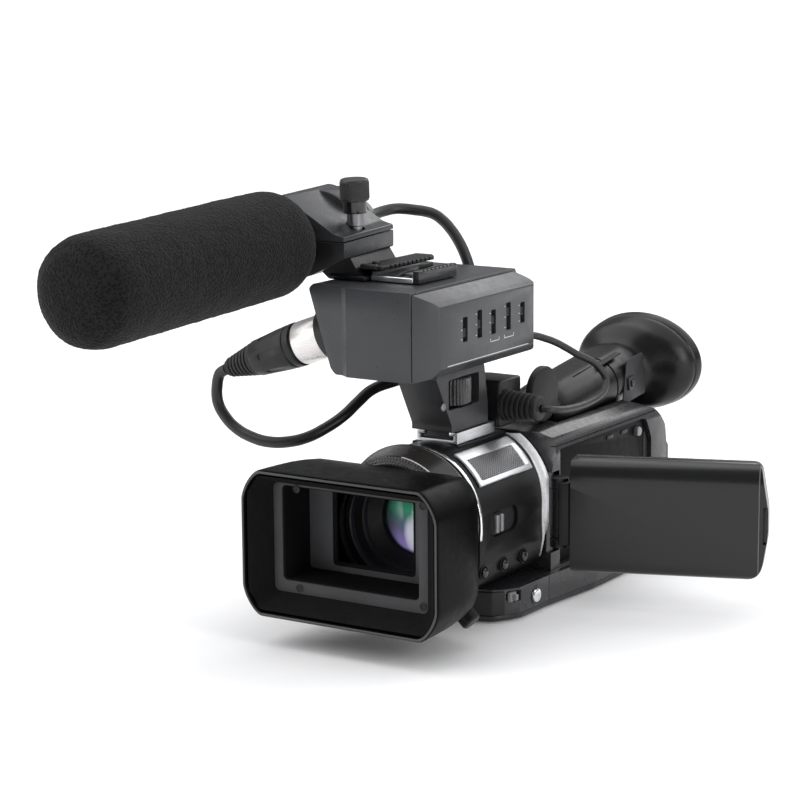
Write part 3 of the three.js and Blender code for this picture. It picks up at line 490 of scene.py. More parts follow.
def cut(o, *cs, op="DIFFERENCE"):
    for c in cs:
        m = o.modifiers.new("b", "BOOLEAN")
        m.operation, m.object, m.solver = op, c, "EXACT"
        bake(o)
        bpy.data.objects.remove(c, do_unlink=True)
    return o


def join(o, *cs):
    return cut(o, *cs, op="UNION")


def both(o, *cs):
    return cut(o, *cs, op="INTERSECT")


def bevel(o, w, seg=3, ang=28):
    m = o.modifiers.new("b", "BEVEL")
    m.width, m.segments, m.limit_method, m.angle_limit = w, seg, "ANGLE", radians(ang)
    m.use_clamp_overlap, m.miter_outer = True, "MITER_ARC"
    return bake(o)


def merge(*objs):
    a = objs[0]
    bm = bmesh.new()
    for o in objs:
        bm.from_mesh(o.data)
    bm.to_mesh(a.data)
    bm.free()
    for o in objs[1:]:
        bpy.data.objects.remove(o, do_unlink=True)
    return a


def fin(o, name, mat, body, nodes=(), T=None, ang=32, smooth=True):
    if T is not None:
        o.data.transform(T)
    o.data.transform(TO_ROW)
    o.name = o.data.name = name
    if smooth:
        o.data.shade_smooth()
        o.data.set_sharp_from_angle(angle=radians(ang))
    o.data.materials.clear()
    o.data.materials.append(M[mat] if isinstance(mat, str) else mat)
    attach(o, body)
    nodes = (nodes,) if isinstance(nodes, str) else nodes
    if nodes:
        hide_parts(*nodes)
    return o


def gear(axis, c, r, depth, teeth, a0, a1, per=8, chamfer=0.5, sharp=2.2, ri=0.0):
    """round piece with fine ribs along its axis"""
    seg = teeth * per

    def lp(a, k, rad_):
        o = []
        for i in range(seg):
            t = 2 * pi * i / seg
            w = 0.5 + 0.5 * cos(teeth * t)
            q = rad_ - k * depth * (w ** sharp)
            u, v = c[0] + q * cos(t), c[1] + q * sin(t)
            o.append((a, u, v) if axis == "x" else (u, a, v) if axis == "y" else (u, v, a))
        return o
    L = [lp(a0, 0, r - depth - chamfer), lp(a0 + chamfer, 0, r - depth * 0.9), lp(a0 + chamfer + 0.3, 1, r), lp((a0 + a1) / 2, 1, r), lp(a1 - chamfer - 0.3, 1, r),
         lp(a1 - chamfer, 0, r - depth * 0.9), lp(a1, 0, r - depth - chamfer)]
    if ri > 0:
        L += [lp(a1, 0, ri), lp(a0, 0, ri)]
        return loft(L, True)
    return loft(L)


# -------------------------------------------------------------------- cords
def catmull(Q, per):
    Q = [np.array(p, float) for p in Q]
    Q = [2 * Q[0] - Q[1]] + Q + [2 * Q[-1] - Q[-2]]
    out = []
    for i in range(1, len(Q) - 2):
        p0, p1, p2, p3 = Q[i - 1:i + 3]
        t0 = 0.0
        t1 = t0 + np.linalg.norm(p1 - p0) ** 0.5
        t2 = t1 + np.linalg.norm(p2 - p1) ** 0.5
        t3 = t2 + np.linalg.norm(p3 - p2) ** 0.5
        for k in range(per):
            t = t1 + (t2 - t1) * k / per
            a1 = (t1 - t) / (t1 - t0) * p0 + (t - t0) / (t1 - t0) * p1
            a2 = (t2 - t) / (t2 - t1) * p1 + (t - t1) / (t2 - t1) * p2
            a3 = (t3 - t) / (t3 - t2) * p2 + (t - t2) / (t3 - t2) * p3
            b1 = (t2 - t) / (t2 - t0) * a1 + (t - t0) / (t2 - t0) * a2
            b2 = (t3 - t) / (t3 - t1) * a2 + (t - t1) / (t3 - t1) * a3
            out.append((t2 - t) / (t2 - t1) * b1 + (t - t1) / (t2 - t1) * b2)
    out.append(Q[-2])
    return out


def cable(name, pts, r, node):
    route = [P(*p) for p in catmull(pts, 2)]
    cu = bpy.data.curves.new(name, "CURVE")
    cu.dimensions = "3D"
    sp = cu.splines.new("BEZIER")
    sp.bezier_points.add(len(route) - 1)
    for b, p in zip(sp.bezier_points, route):
        b.co = p
        b.handle_left_type = b.handle_right_type = "AUTO"
    sp.resolution_u = 6
    cu.bevel_depth, cu.bevel_resolution, cu.use_fill_caps = r / 1000, 6, True
    o = bpy.data.objects.new(name, cu)
    COL.objects.link(o)
    cu.materials.append(M["cable"])
    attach(o, "camera")
    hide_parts(node)
    d = catmull(pts, 24)
    ln = sum(float(np.linalg.norm(a - b)) for a, b in zip(d, d[1:])) / 1000
    return o, ln, route


MIC_CABLE = [(-58, 112.5, 121.2), (-58, 122, 122.6), (-54.5, 131, 123.8), (-48, 137, 123), (-40, 140.5, 121.2), (-32.6, 142, 115.2), (-25, 142, 104.2),
             (-20.5, 141.5, 90), (-20, 140, 76), (-23, 133, 63), (-32, 117, 54), (-44.4, 95, 48.2), (-49, 80, 39), (-59, 65, 30.6), (-74, 58, 28.4),
             (-90.4, 56.2, 33.4), (-99.2, 56, 43), (-99.8, 56, 51), (-98, 56, 56.8), (-94.4, 56, 59)]
ADAPTER_CABLE = [(14.5, 131.9, 72), (15.8, 134.8, 71.4), (22, 140.5, 68.4), (28, 150.5, 61.8), (33, 156.5, 57.6), (37, 159.5, 51), (38.4, 155.5, 46),
                 (38, 143, 42.8), (37.4, 126, 42.6), (36.4, 117.6, 43.4), (34.2, 113.6, 44), (31.2, 113, 44)]
mic_cord, MIC_LEN, MIC_ROUTE = cable("mic_cord", MIC_CABLE, 2.5, "mic_cable")
adp_cord, ADP_LEN, ADP_ROUTE = cable("adapter_cord", ADAPTER_CABLE, 1.6, "adapter_cable")

# microphone plug: nickel shell, black body with finger notches, ribbed boot
c = (56, 80)
shell = lathe("x", c, [(7.2, -28.2), (8.6, -28.2), (9.3, -29), (9.5, -29.8), (9.5, -35), (9.25, -35.3), (9.25, -36), (9.5, -36.3), (9.5, -54), (9.2, -54.8), (8.8, -55.2), (7.2, -55.2)], 96)
plug_shell = fin(bevel(shell, 0.2, 2), "xlr_shell", "nickel", "camera", "xlr_plug", SLANT)
grip = lathe("x", c, [(7.6, -55.2), (9.2, -55.4), (9.6, -56), (9.6, -58.2), (9.2, -58.6), (9.2, -59.4), (9.5, -59.8), (9.1, -66), (8.4, -73), (7.9, -79.2), (7.4, -80), (5, -80)], 96)
for k in range(6):
    t = radians(60 * k + 30)
    n = rr(9.4, 3.2, 1.5, 1.5, 0, 0, 6, 0)
    nt = prism("z", [(p[0], p[1]) for p in n], 8.55, 12)
    nt.data.transform(Matrix.Translation((-68.2, 56, 80)) @ Matrix.Rotation(t, 4, "X") @ Matrix.Rotation(radians(-7), 4, "Y"))
    grip = cut(grip, nt)
plug_body = fin(bevel(grip, 0.25, 2), "xlr_body", "black", "camera", (), SLANT)
prof = [(4.0, -79.6), (7.3, -79.6)]
for k in range(7):
    a = -80.6 - k * 2.2
    q = 7.3 - (k + 0.5) * 0.47
    prof += [(q + 0.22, a), (q + 0.2, a - 1.2), (q - 0.75, a - 1.35), (q - 0.8, a - 2.05)]
prof += [(3.7, -96.4), (3.2, -97), (2.7, -97)]
plug_boot = fin(bevel(lathe("x", c, prof, 72), 0.15, 2), "xlr_boot", "rubber", "camera", (), SLANT)

# right-angle plug of the adapter cable, with a ribbed strain relief
pb = prism("z", fillet([(-6, 108.6), (13, 108.6), (13, 127), (-6, 127)], [5, 2, 2, 5], 8), 34.5, 55)
plug2 = fin(bevel(pb, 1.2, 4), "adapter_plug_body", "black", "camera", "adapter_plug")
prof = [(2, 12.4), (6.4, 12.4), (6.8, 13)]
for k in range(6):
    a = 13.6 + k * 2.45
    q = 6.8 - k * 0.16
    prof += [(q, a), (q, a + 1.3), (q - 1.5, a + 1.45), (q - 1.55, a + 2.3)]
prof += [(5.6, 28.4), (5.3, 30), (4.2, 30.5), (1.7, 30.5)]
relief = fin(bevel(lathe("x", (113, 44), prof, 72), 0.2, 2), "adapter_plug_relief", "rubber", "camera")

# --------------------------------------------------------------------- hood
N = 208


def corner(w, h, rx, rz, N, p=1.5):
    """outline with flattened corners, N even steps from the middle of its lower side"""
    pts = [(0, -h / 2)]
    for sx, sz, a in ((1, -1, -90), (1, 1, 0), (-1, 1, 90), (-1, -1, 180)):
        for i in range(25):
            t = radians(a + 90 * i / 24)
            c_, s_ = cos(t), sin(t)
            f = (abs(c_) ** p + abs(s_) ** p) ** (-1 / p)
            pts.append((sx * (w / 2 - rx) + rx * c_ * f, sz * (h / 2 - rz) + rz * s_ * f))
    pts = np.array(pts + [(0, -h / 2)])
    d = np.concatenate([[0], np.cumsum(np.hypot(*np.diff(pts, axis=0).T))])
    s_ = np.linspace(0, d[-1], N, endpoint=False)
    return list(zip(np.interp(s_, d, pts[:, 0]), np.interp(s_, d, pts[:, 1])))


OUT = [(0.1, 93.6, 60.3, 8.6, 12.2, 1.5), (0.5, 94.6, 61.3, 9, 12.8, 1.5), (1.2, 95, 61.7, 9.2, 13, 1.5), (20, 93.6, 61.1, 9.6, 13.4, 1.55), (30, 91.2, 60.0, 10, 13, 1.65),
       (36, 88.2, 58.8, 10, 13, 1.75), (39.4, 85.4, 57.8, 9, 12, 1.8), (40.2, 83.8, 56.4, 8.4, 11, 1.8), (40.6, 81.6, 54.2, 8, 10, 1.8)]
INN = [(0.1, 92.6, 59.3, 8.3, 12, 1.5), (0.5, 91.5, 58.2, 8, 11.6, 1.5), (1.0, 91.3, 58.0, 8, 11.6, 1.5), (20, 89, 56.7, 8, 11, 1.6), (35, 81, 54.7, 14, 15, 1.8), (39.4, 70, 52, 20, 20, 2)]
yo = [0.1, 0.3, 0.5, 0.8, 1.2, 3, 6, 10, 14, 18, 22, 26, 30, 33, 35, 36.5, 38, 39, 39.6, 40, 40.3, 40.6]
yi = [39.4, 38, 37, 35, 30, 25, 20, 12, 5, 1.0, 0.6, 0.3, 0.1]
loops = [[(u, y, v) for u, v in corner(*row[:4], N, row[4])] for y, row in zip(yo, smooth_keys(OUT, yo))]
hole_ = [(25.6 * sin(-2 * pi * i / N + pi) * -1, AX - 25.6 * cos(2 * pi * i / N)) for i in range(N)]
hole_ = [(25.6 * sin(2 * pi * i / N), AX - 25.6 * cos(2 * pi * i / N)) for i in range(N)]
loops += [[(u, 40.6, v) for u, v in hole_], [(u, 39.4, v) for u, v in hole_]]
loops += [[(u, y, v) for u, v in corner(*row[:4], N, row[4])] for y, row in zip(yi, smooth_keys(INN, yi))]
hood = loft(loops, True)
# thin lighter band on the front face of the rim: painted highlight
lipo = [[(u, y, v) for u, v in corner(w_, h_, a_, b_, N, 1.5)] for y, w_, h_, a_, b_ in ((0.2, 94.1, 60.8, 8.8, 12.4), (0.02, 93.7, 60.4, 8.6, 12.2), (0.0, 93.2, 59.9, 8.5, 12.1), (0.02, 92.6, 59.3, 8.3, 12), (0.2, 92.2, 58.9, 8.2, 11.9))]
fin(loft(lipo, True), "hood_lip", "lip", "camera", ang=50)
boss = cyl("x", (42.6, AX), 4.2, 33, 44, 48)
boss.data.transform(RADIAL)
hood = join(hood, bevel(boss, 0.4, 2))
hole = join(cyl("x", (42.6, AX), 2.0, 38, 46, 32), cyl("x", (42.6, AX), 4.6, 44, 60, 48))
hole.data.transform(RADIAL)
fin(cut(hood, hole), "lens_hood_shell", "hood", "camera", "lens_hood", ang=40)
sc = gear("x", (42.6, AX), 4.2, 0.35, 36, 44.4, 52, 6, 0.4)
fin(merge(sc, cyl("x", (42.6, AX), 1.6, 38, 45, 24)), "hood_thumb_screw", "black", "hood_lock_screw", "hood_lock_screw", RADIAL)

# stepped mask with its window
def lp(y, w, h, rx, rz, cz):
    return [(u, y, v) for u, v in rr(w, h, rx, rz, 0, cz, 8, 1)]
mask = loft([lp(1.3, 90.1, 56.7, 7, 11, 0), lp(1.3, 89.3, 55.8, 6.6, 7, 0), lp(9.4, 74.8, 46.2, 2.2, 2.2, 1.5), lp(9.4, 66.6, 40.6, 2, 2, 3.6), lp(10.4, 65, 39, 1.6, 1.6, 3.6),
             lp(27.6, 64, 38, 1.5, 1.5, 3.6), lp(27.6, 39.4, 31.6, 1.8, 1.8, 3.7), lp(28.3, 37.4, 29.8, 1.5, 1.5, 3.7), lp(29, 37.4, 29.8, 1.5, 1.5, 3.7),
             lp(29, 83, 52.7, 12, 14, 0), lp(20, 87.6, 55.2, 9, 12, 0)], True)
fin(bevel(mask, 0.35, 3, 18), "hood_mask_frame", "inner", "camera", "hood_mask", ang=30)
bd = loft([lp(9.32, 74.6, 46.0, 2.6, 2.6, 1.5), lp(9.32, 66.2, 40.2, 2, 2, 3.6), lp(9.9, 65.9, 39.9, 2, 2, 3.6), lp(9.9, 75.0, 46.4, 2.6, 2.6, 1.5)], True)
fin(bevel(bd, 0.12, 2, 30), "hood_mask_band", "band", "camera", ang=30)
# fine baffle ribs on the funnel floor and sides
for k in range(7):
    f = (k + 0.8) / 7.6
    y_, w_, h_, cz_ = 1.3 + 8.1 * f, 89.3 - 14.5 * f, 55.8 - 9.6 * f, 1.5 * f
    fin(loft([lp(y_, w_, h_, 6.6 - 4.4 * f, 7 - 4.8 * f, cz_), lp(y_ + 0.25, w_ - 0.9, h_ - 0.7, 6.3 - 4.2 * f, 6.8 - 4.7 * f, cz_ + 0.04), lp(y_ + 0.5, w_ - 0.6, h_ - 0.4, 6.4 - 4.2 * f, 6.9 - 4.7 * f, cz_ + 0.05)], True),
        f"hood_baffle_{k+1}", "inner", "camera")
wp = loft([lp(27.35, 63.6, 37.6, 1.4, 1.4, 3.6), lp(27.35, 40.6, 32.8, 2, 2, 3.7), lp(27.58, 40.6, 32.8, 2, 2, 3.7), lp(27.58, 63.6, 37.6, 1.4, 1.4, 3.6)], True)
fin(bevel(wp, 0.08, 1), "hood_window_plate", "plate", "camera")
for i, (x, z) in enumerate([(-24.8, -19.1), (35.2, -18.4), (-25.6, 22.6), (35.2, 22.8)]):
    s_ = lathe("y", (x, z), [(0.2, 9.25), (1.5, 9.25), (1.7, 9.0), (1.35, 8.9), (1.2, 9.15), (0.2, 9.15)], 32)
    fin(s_, f"mask_screw_{i+1}", "dark", "camera")

# lens: stepped barrel, coated elements, a front element and inner block with painted reflections
prof = [(25.8, 45.4), (23.9, 45.4), (23.5, 45.7), (23.3, 46.4), (23.2, 48.0), (21.5, 51.4), (20.9, 51.6), (20.5, 52.0), (20.35, 52.8)]
for k in range(12):
    f = k / 12
    r_, a_ = 20.2 - 4.3 * f, 53.2 + 5.6 * f
    prof += [(r_, a_), (r_ - 0.22, a_ + 0.06), (r_ - 0.14, a_ + 0.3)]
prof += [(15.7, 59.2), (15.5, 59.6), (15.5, 66.0), (13.5, 66.2), (13.2, 76), (16, 78), (25.8, 78)]
fin(bevel(lathe("y", (0, AX), prof, 200), 0.05, 1, 50), "lens_barrel_front", "barrel", "camera", "lens_barrel", ang=20)
def dome(R, y_edge, sag, thick, mat, name, node=()):
    pr = [(0.001, y_edge - sag)] + [(R * sin(t), y_edge - sag * (1 - (R * sin(t) / R) ** 2) if False else y_edge - sag * (1 - (sin(t)) ** 2)) for t in np.linspace(0.08, pi / 2, 20)]
    pr += [(R, y_edge + thick), (0.001, y_edge + thick)]
    return fin(lathe("y", (0, AX), pr, 96, False), name, mat, "camera", node)
# front element: painted reflection and painted glow
dome(15.5, 60.4, 3.6, 0.6, "frontglass", "lens_front_element", "front_lens")
dome(13.0, 65.6, 4.2, 0.4, "coat_v", "lens_second_element")
dome(12.9, 71.5, 1.5, 0.4, "coat_b", "lens_third_element")
# inner lens block: its colour is a painted reflection
back = [(0.001, 76.5)] + [(r_, 76.5 - 2.6 * (r_ / 13.1) ** 2) for r_ in np.linspace(1, 13.1, 14)] + [(13.1, 77.4), (0.001, 77.4)]
fin(lathe("y", (0, AX), back, 96, False), "lens_inner_block", "block", "camera")

# focus ring
seg_ = 960
def kn(r, y, depth, teeth=120, sh=1.0):
    return [((r - depth * (0.5 + 0.5 * cos(teeth * 2 * pi * i / seg_)) ** sh) * cos(2 * pi * i / seg_), y, AX + (r - depth * (0.5 + 0.5 * cos(teeth * 2 * pi * i / seg_)) ** sh) * sin(2 * pi * i / seg_)) for i in range(seg_)]
fl = [kn(26.4, 41.7, 0), kn(27.3, 41.7, 0), kn(27.7, 41.9, 0.1), kn(28.2, 42.3, 0.55), kn(29.3, 43.2, 0.6), kn(29.75, 43.6, 0.55), kn(29.85, 43.8, 0.0), kn(30.05, 43.9, 0), kn(30.2, 44.1, 0), kn(30.2, 44.4, 0), kn(30.0, 44.6, 0)]
for k in range(16):
    f = k / 16
    y_, r_ = 44.8 + 10.4 * f, 30.15 + 2.65 * f
    fl += [kn(r_, y_, 0), kn(r_ + 0.05, y_ + 0.42, 0), kn(r_ - 0.16, y_ + 0.52, 0)]
fl += [kn(32.85, 55.3, 0.0), kn(33.0, 55.5, 0.22, 180), kn(33.0, 56.2, 0.22, 180), kn(32.6, 56.5, 0.1, 180), kn(29.6, 56.5, 0), kn(26.4, 56.5, 0)]
fin(loft(fl, True), "focus_ring_ribbed", "ribs", "focus_ring", "focus_ring", ang=40)
# white arc on part of the ring's front edge: a painted highlight
ar = loft([[(r_ * cos(t), y_, AX + r_ * sin(t)) for r_, y_ in ((30.1, 43.85), (30.32, 44.0), (30.36, 44.25), (30.30, 44.5), (30.1, 44.55))] for t in np.radians(np.linspace(57, 84, 40))])
fin(ar, "focus_ring_painted_highlight_arc", "white", "focus_ring")

# --------------------------------------------------------------------- drum
def clean_outline(pts):
    o = []
    for p in pts:
        if not o or math.hypot(p[0] - o[-1][0], p[1] - o[-1][1]) > 0.15:
            o.append(p)
    if math.hypot(o[0][0] - o[-1][0], o[0][1] - o[-1][1]) < 0.15:
        o.pop()
    return o
def drum_pts(off):
    R_ = 31 - off
    arc = [(R_ * cos(t), AX + R_ * sin(t)) for t in np.linspace(radians(2), radians(268), 130)]
    low = fillet([(-2, -28.5 + off), (20.6, -28.4 + off), (28.5 - off * 0.7, -23.2 + off * 0.6), (30.8 - off, -13.4), (31 - off, 2.0)], [0, 7, 8, 12, 0], 8)
    return clean_outline(arc + low[1:])
drum = prism("y", drum_pts(0), 60.8, 115)
base = block(-11.6, 11.6, 76, 115, 24, 32.3)
drum = join(drum, base)
drum = cut(drum, prism("y", drum_pts(1.8), 59, 117), block(-11.6, 11.6, 76, 117, 32.3, 40), prism("x", fillet([(70.4, -4.2), (92.4, -4.2), (92.4, 6.6), (70.4, 6.6)], [4.2, 5.2, 5.2, 4.2], 8), 28.4, 33))
drum = bevel(drum, 0.3, 2, 35)
drum = cut(drum, *[cyl("x", (y, -17.6), 2.75, 26, 33, 40) for y in (64.5, 81, 97.5)])
fin(drum, "drum_casing", "drum", "camera", "drum_shell", ang=30)
fin(lathe("y", (0, AX), [(26.6, 56.9), (30.7, 56.9), (30.7, 61), (26.6, 61)], 160), "drum_front_collar", "gloss", "camera")
fin(bevel(lathe("y", (0, AX), [(30.2, 60.9), (31.3, 60.9), (31.5, 61.3), (31.5, 62.5), (31.25, 62.9), (31.05, 63.2), (30.2, 63.2)], 200), 0.1, 2), "drum_bright_ring", "chrome", "camera")
# recessed band with a long slot for the selector
fin(prism("x", fillet([(70.6, -4), (92.2, -4), (92.2, 6.4), (70.6, 6.4)], [4.1, 5.1, 5.1, 4.1], 8), 28.5, 29.3), "selector_slot_floor", "dark", "camera")
sw = bevel(prism("x", fillet([(70.9, -3.5), (81.4, -3.5), (81.4, 5.9), (70.9, 5.9)], [4, 4.9, 4.9, 4], 8), 29.5, 30.3), 0.2, 2)
fin(sw, "focus_selector", "black", "drum_switch", "drum_switch")
fin(merge(bevel(block(30.1, 32, 73.2, 75.6, -2.6, 5.0), 0.6, 3), bevel(block(30.1, 32, 77.0, 79.2, -2.6, 5.0), 0.6, 3)), "focus_selector_ribs", "ribmetal", "drum_switch")
for i, y in enumerate((64.5, 81, 97.5)):
    bt = lathe("x", (y, -17.6), [(0.001, 27.4), (2.3, 27.4), (2.3, 31.1), (2.15, 31.6), (1.7, 31.95), (1.0, 32.15), (0.001, 32.2)], 48, False)
    fin(bt, f"drum_key_{i+1}", "gloss", f"drum_button_{i+1}", f"drum_button_{i+1}")
    rg = lathe("x", (y, -17.6), [(2.7, 30.0), (3.2, 30.0), (3.2, 30.75), (3.1, 30.9), (2.8, 30.9), (2.7, 30.8)], 40)
    fin(rg, f"drum_key_collar_{i+1}", "drum", "camera")

# crescent between drum and body
cr = both(cut(cyl("y", (0, AX), 33.6, 115.3, 118, 200), cyl("y", (-2.6, AX - 1.6), 30.4, 100, 125, 200)), block(4, 40, 100, 120, -27, 31.2))
cr = cut(cr, cyl("z", (36.6, 118.5), 4.5, -22, 16, 48))
cr = both(cr, lathe("y", (0, AX), [(0.001, 115.3), (31.3, 115.3), (31.9, 115.5), (32.9, 116.4), (33.6, 117.6), (33.7, 118.0), (0.001, 118.0)], 200, False))
crs = fin(bevel(cr, 0.15, 2, 35), "bright_crescent", "trim", "camera", "trim_crescent")
bw = both(cut(prism("y", drum_pts(-0.35), 108, 115.3), prism("y", drum_pts(0.1), 100, 120)),
          prism("x", [(115.3, 28.4), (115.0, 28.4), (114.5, 22), (113.8, 14), (113.2, 6), (113.0, 0), (113.2, -6), (113.8, -12), (114.5, -17), (115.3, -22)], 12, 40))
fin(bevel(bw, 0.08, 2, 35), "bright_crescent_band", "trim", "camera", ang=40)
crs.data.materials.append(M["drum"])
for f_ in crs.data.polygons:
    if f_.normal.y > -0.2:
        f_.material_index = 1

# silver side plate with its grille
def patch(a0, a1, r0, r1, y0, y1, n=24):
    o = [((r1) * cos(t), AX + r1 * sin(t)) for t in np.radians(np.linspace(a0, a1, n))]
    o += [((r0) * cos(t), AX + r0 * sin(t)) for t in np.radians(np.linspace(a1, a0, n))]
    return prism("y", o, y0, y1)
pl = cut(patch(29.5, 62, 31.25, 32.5, 66.5, 110), patch(34, 53, 31.9, 36, 69.6, 105.4))
fin(bevel(pl, 0.25, 2, 35), "side_plate", "silver", "camera", "side_trim")
fin(patch(34.2, 52.8, 31.7, 31.98, 69.8, 105.2), "grille_floor", "dark", "camera")
bars, faces = [], []
def bar(p, q, r_, w=0.34, h=0.34):
    """thin curved bar over the grille opening, between two (angle, y) points"""
    k = 8
    base_ = len(bars)
    (a0, y0), (a1, y1) = p, q
    L_ = math.hypot((a1 - a0) * radians(1) * r_, y1 - y0)
    if L_ < 0.4:
        return
    na, ny = -(y1 - y0) / L_, (a1 - a0) * radians(1) * r_ / L_
    for i in range(k + 1):
        f = i / k
        for s_, hh in ((-1, 0), (1, 0), (1, h), (-1, h)):
            a = a0 + (a1 - a0) * f + s_ * w / 2 * na / r_ * 180 / pi
            y = y0 + (y1 - y0) * f + s_ * w / 2 * ny
            rad_ = r_ + hh
            bars.append((rad_ * cos(radians(a)), y, AX + rad_ * sin(radians(a))))
    for i in range(k):
        for j in range(4):
            a_, b_ = base_ + i * 4 + j, base_ + i * 4 + (j + 1) % 4
            faces.append((a_, b_, b_ + 4, a_ + 4))
    faces.append((base_, base_ + 1, base_ + 2, base_ + 3))
    faces.append((base_ + k * 4, base_ + k * 4 + 1, base_ + k * 4 + 2, base_ + k * 4 + 3))
A0, A1, Y0, Y1, RG = 34.3, 52.7, 69.9, 105.1, 31.98
span = (A1 - A0) * radians(1) * RG
for d in (1, -1):
    k = -span
    while k < (Y1 - Y0) + span:
        # line y = Y0 + k + d*(s), s across the opening
        pts = []
        s0, s1 = 0.0, span
        ya, yb = (k if d > 0 else k + 0), (k + span if d > 0 else k - span)
        # clip to 0..Y1-Y0
        H_ = Y1 - Y0
        f0, f1 = 0.0, 1.0
        dy = yb - ya
        if dy > 0:
            f0, f1 = max(f0, (0 - ya) / dy), min(f1, (H_ - ya) / dy)
        else:
            f0, f1 = max(f0, (H_ - ya) / dy), min(f1, (0 - ya) / dy)
        if f1 - f0 > 0.05:
            bar((A0 + (A1 - A0) * f0, Y0 + ya + dy * f0), (A0 + (A1 - A0) * f1, Y0 + ya + dy * f1), RG + (0.0 if d > 0 else 0.12))
        k += 1.15 * 1.41
fin(mesh("g", bars, faces), "grille_mesh", "grille", "camera", smooth=False)

# ---------------------------------------------------------------- body shoe
sh = join(block(-10.25, 10.25, 77, 108, 32.6, 34), block(-10.25, -8.2, 77, 108, 33, 37.3), block(8.2, 10.25, 77, 108, 33, 37.3),
          block(-10.25, -6.2, 77, 108, 35.9, 37.5), block(6.2, 10.25, 77, 108, 35.9, 37.5))
fin(bevel(sh, 0.22, 2), "body_shoe", "silver", "camera", "accessory_shoe")

# --------------------------------------------------------------------- body
def half(sgn):
    if sgn > 0:
        pts, r = [(0.15, -40), (32.6, -40), (32.6, 22.5), (30.6, 28.4), (24, 31.6), (15, 32), (0.15, 32)], [0, 3, 4, 5, 6, 4, 0]
    else:
        pts, r = [(-0.15, 32), (-22, 32), (-32.4, 28.2), (-39, 19), (-42, 6), (-42, -28), (-36, -40), (-0.15, -40)], [0, 8, 8, 8, 8, 6, 4, 0]
    return prism("y", fillet(pts, r, 6), 118.3, 230)


SIDE = fillet([(118.3, -45), (230, -45), (230, 8), (228.4, 17.5), (220.5, 26), (203, 32.4), (118.3, 32.4)], [0, 2, 10, 7, 8, 10, 1.5], 8)
FOOT = fillet([(0.15, 75), (18, 75), (27, 77.9), (31, 81.6), (34.4, 87.6), (35.2, 112), (38.4, 150), (38.4, 218), (36.6, 225), (31, 228), (0.15, 228)], [0, 3, 4, 3, 3, 20, 20, 5, 5, 5, 0], 6)
FOOTL = fillet([(-0.15, 75), (-16, 75), (-29, 79.4), (-35, 91), (-36, 122), (-0.15, 122)], [0, 5, 7, 8, 1, 0], 6)


def vf_room():
    def s_(y, lo):
        return [(u, y, v) for u, v in fillet([(-11.4, lo), (21.4, lo), (21.4, 60), (-11.4, 60)], [9, 9, 2, 2], 8)]
    a = loft([s_(150, 19.8), s_(206, 19.8), s_(245, 17.8)])
    a.data.transform(VF)
    return a


left = both(half(1), prism("x", SIDE, -60, 60))
left = join(left, prism("z", FOOT, -40, -28.9))
left = cut(left, vf_room(), cyl("x", (160, 33), 15.6, -11.4, 21.4, 64), cyl("y", (0, AX), 22, 110, 122, 64))
nose = join(lathe("y", (0, AX), [(0.001, 118.2), (33.9, 118.2), (34.5, 118.6), (36.2, 120.2), (38.6, 123.4), (41.2, 128), (45, 135), (80, 137), (80, 232), (0.001, 232)], 160, False), block(-80, 80, 60, 240, -60, -7))
left = both(left, nose)
bay = prism("x", fillet([(126.5, -27.9), (214, -27.9), (214, 14), (208.5, 23.9), (126.5, 23.9)], [1.5, 3, 7, 4, 1.5], 6), 30.3, 40)
left = cut(left, bay, cyl("x", (202.4, 18.5), 2.6, 27.4, 36, 32), block(30.4, 40, 117, 125.8, -20.8, 15), block(31.6, 36, 80.6, 89, -34.6, -29.9))
left = bevel(left, 0.7, 3, 32)
left = cut(left, cyl("x", (101.6, -35.4), 3.5, 30, 37, 40), cyl("x", (202.4, 18.5), 2.6, 30, 36, 32))
# shut lines: where the top cover meets the side, and the base band
left = cut(left, prism("y", [(32.9, 25.0), (29.9, 25.6), (29.9, 25.95), (32.9, 25.35)], 119.5, 222), block(30, 40, 112, 112.35, -42, -28.4))
fin(left, "left_body_half", "body", "camera", "left_shell", ang=30)
bf = prism("x", fillet([(126.8, -27.6), (213.7, -27.6), (213.7, 13.9), (208.3, 23.6), (126.8, 23.6)], [1.4, 2.9, 6.8, 3.9, 1.4], 6), 30.2, 30.75)
bf = cut(bf, cyl("x", (202.4, 18.5), 2.55, 30, 36, 32))
fin(bevel(bf, 0.12, 2), "bay_panel", "bay", "camera")
# column at the rear end of the bay that takes the latch of the screen
fin(bevel(prism("x", fillet([(209.2, -24), (213.2, -24), (213.2, 12), (210.4, 17), (209.2, 17)], 0.6, 3), 30.6, 31.0), 0.15, 2), "bay_latch_column", "dark", "camera")

right = both(half(-1), prism("x", SIDE, -60, 60))
right = join(right, prism("z", FOOTL, -40, -28.9))
right = cut(right, vf_room(), cyl("x", (160, 33), 15.6, -11.4, 21.4, 64), cyl("y", (0, AX), 22, 110, 122, 64))
right = cut(right, block(-50, -34, 122, 224, -30, 12), block(-40, -12.6, 134, 214, -29, 11))
right = bevel(right, 0.7, 3, 32)
right = cut(right, cyl("y", (-28, -6), 6.6, 222, 240, 48), cyl("z", (-18, 172), 3.9, 28, 34, 40))
right = cut(right, block(-24, -6, 165, 165.3, 31.7, 33), block(-37, -10, 229.6, 231, 8, 8.35))
fin(right, "right_body_half", "body", "camera", "right_shell", ang=30)

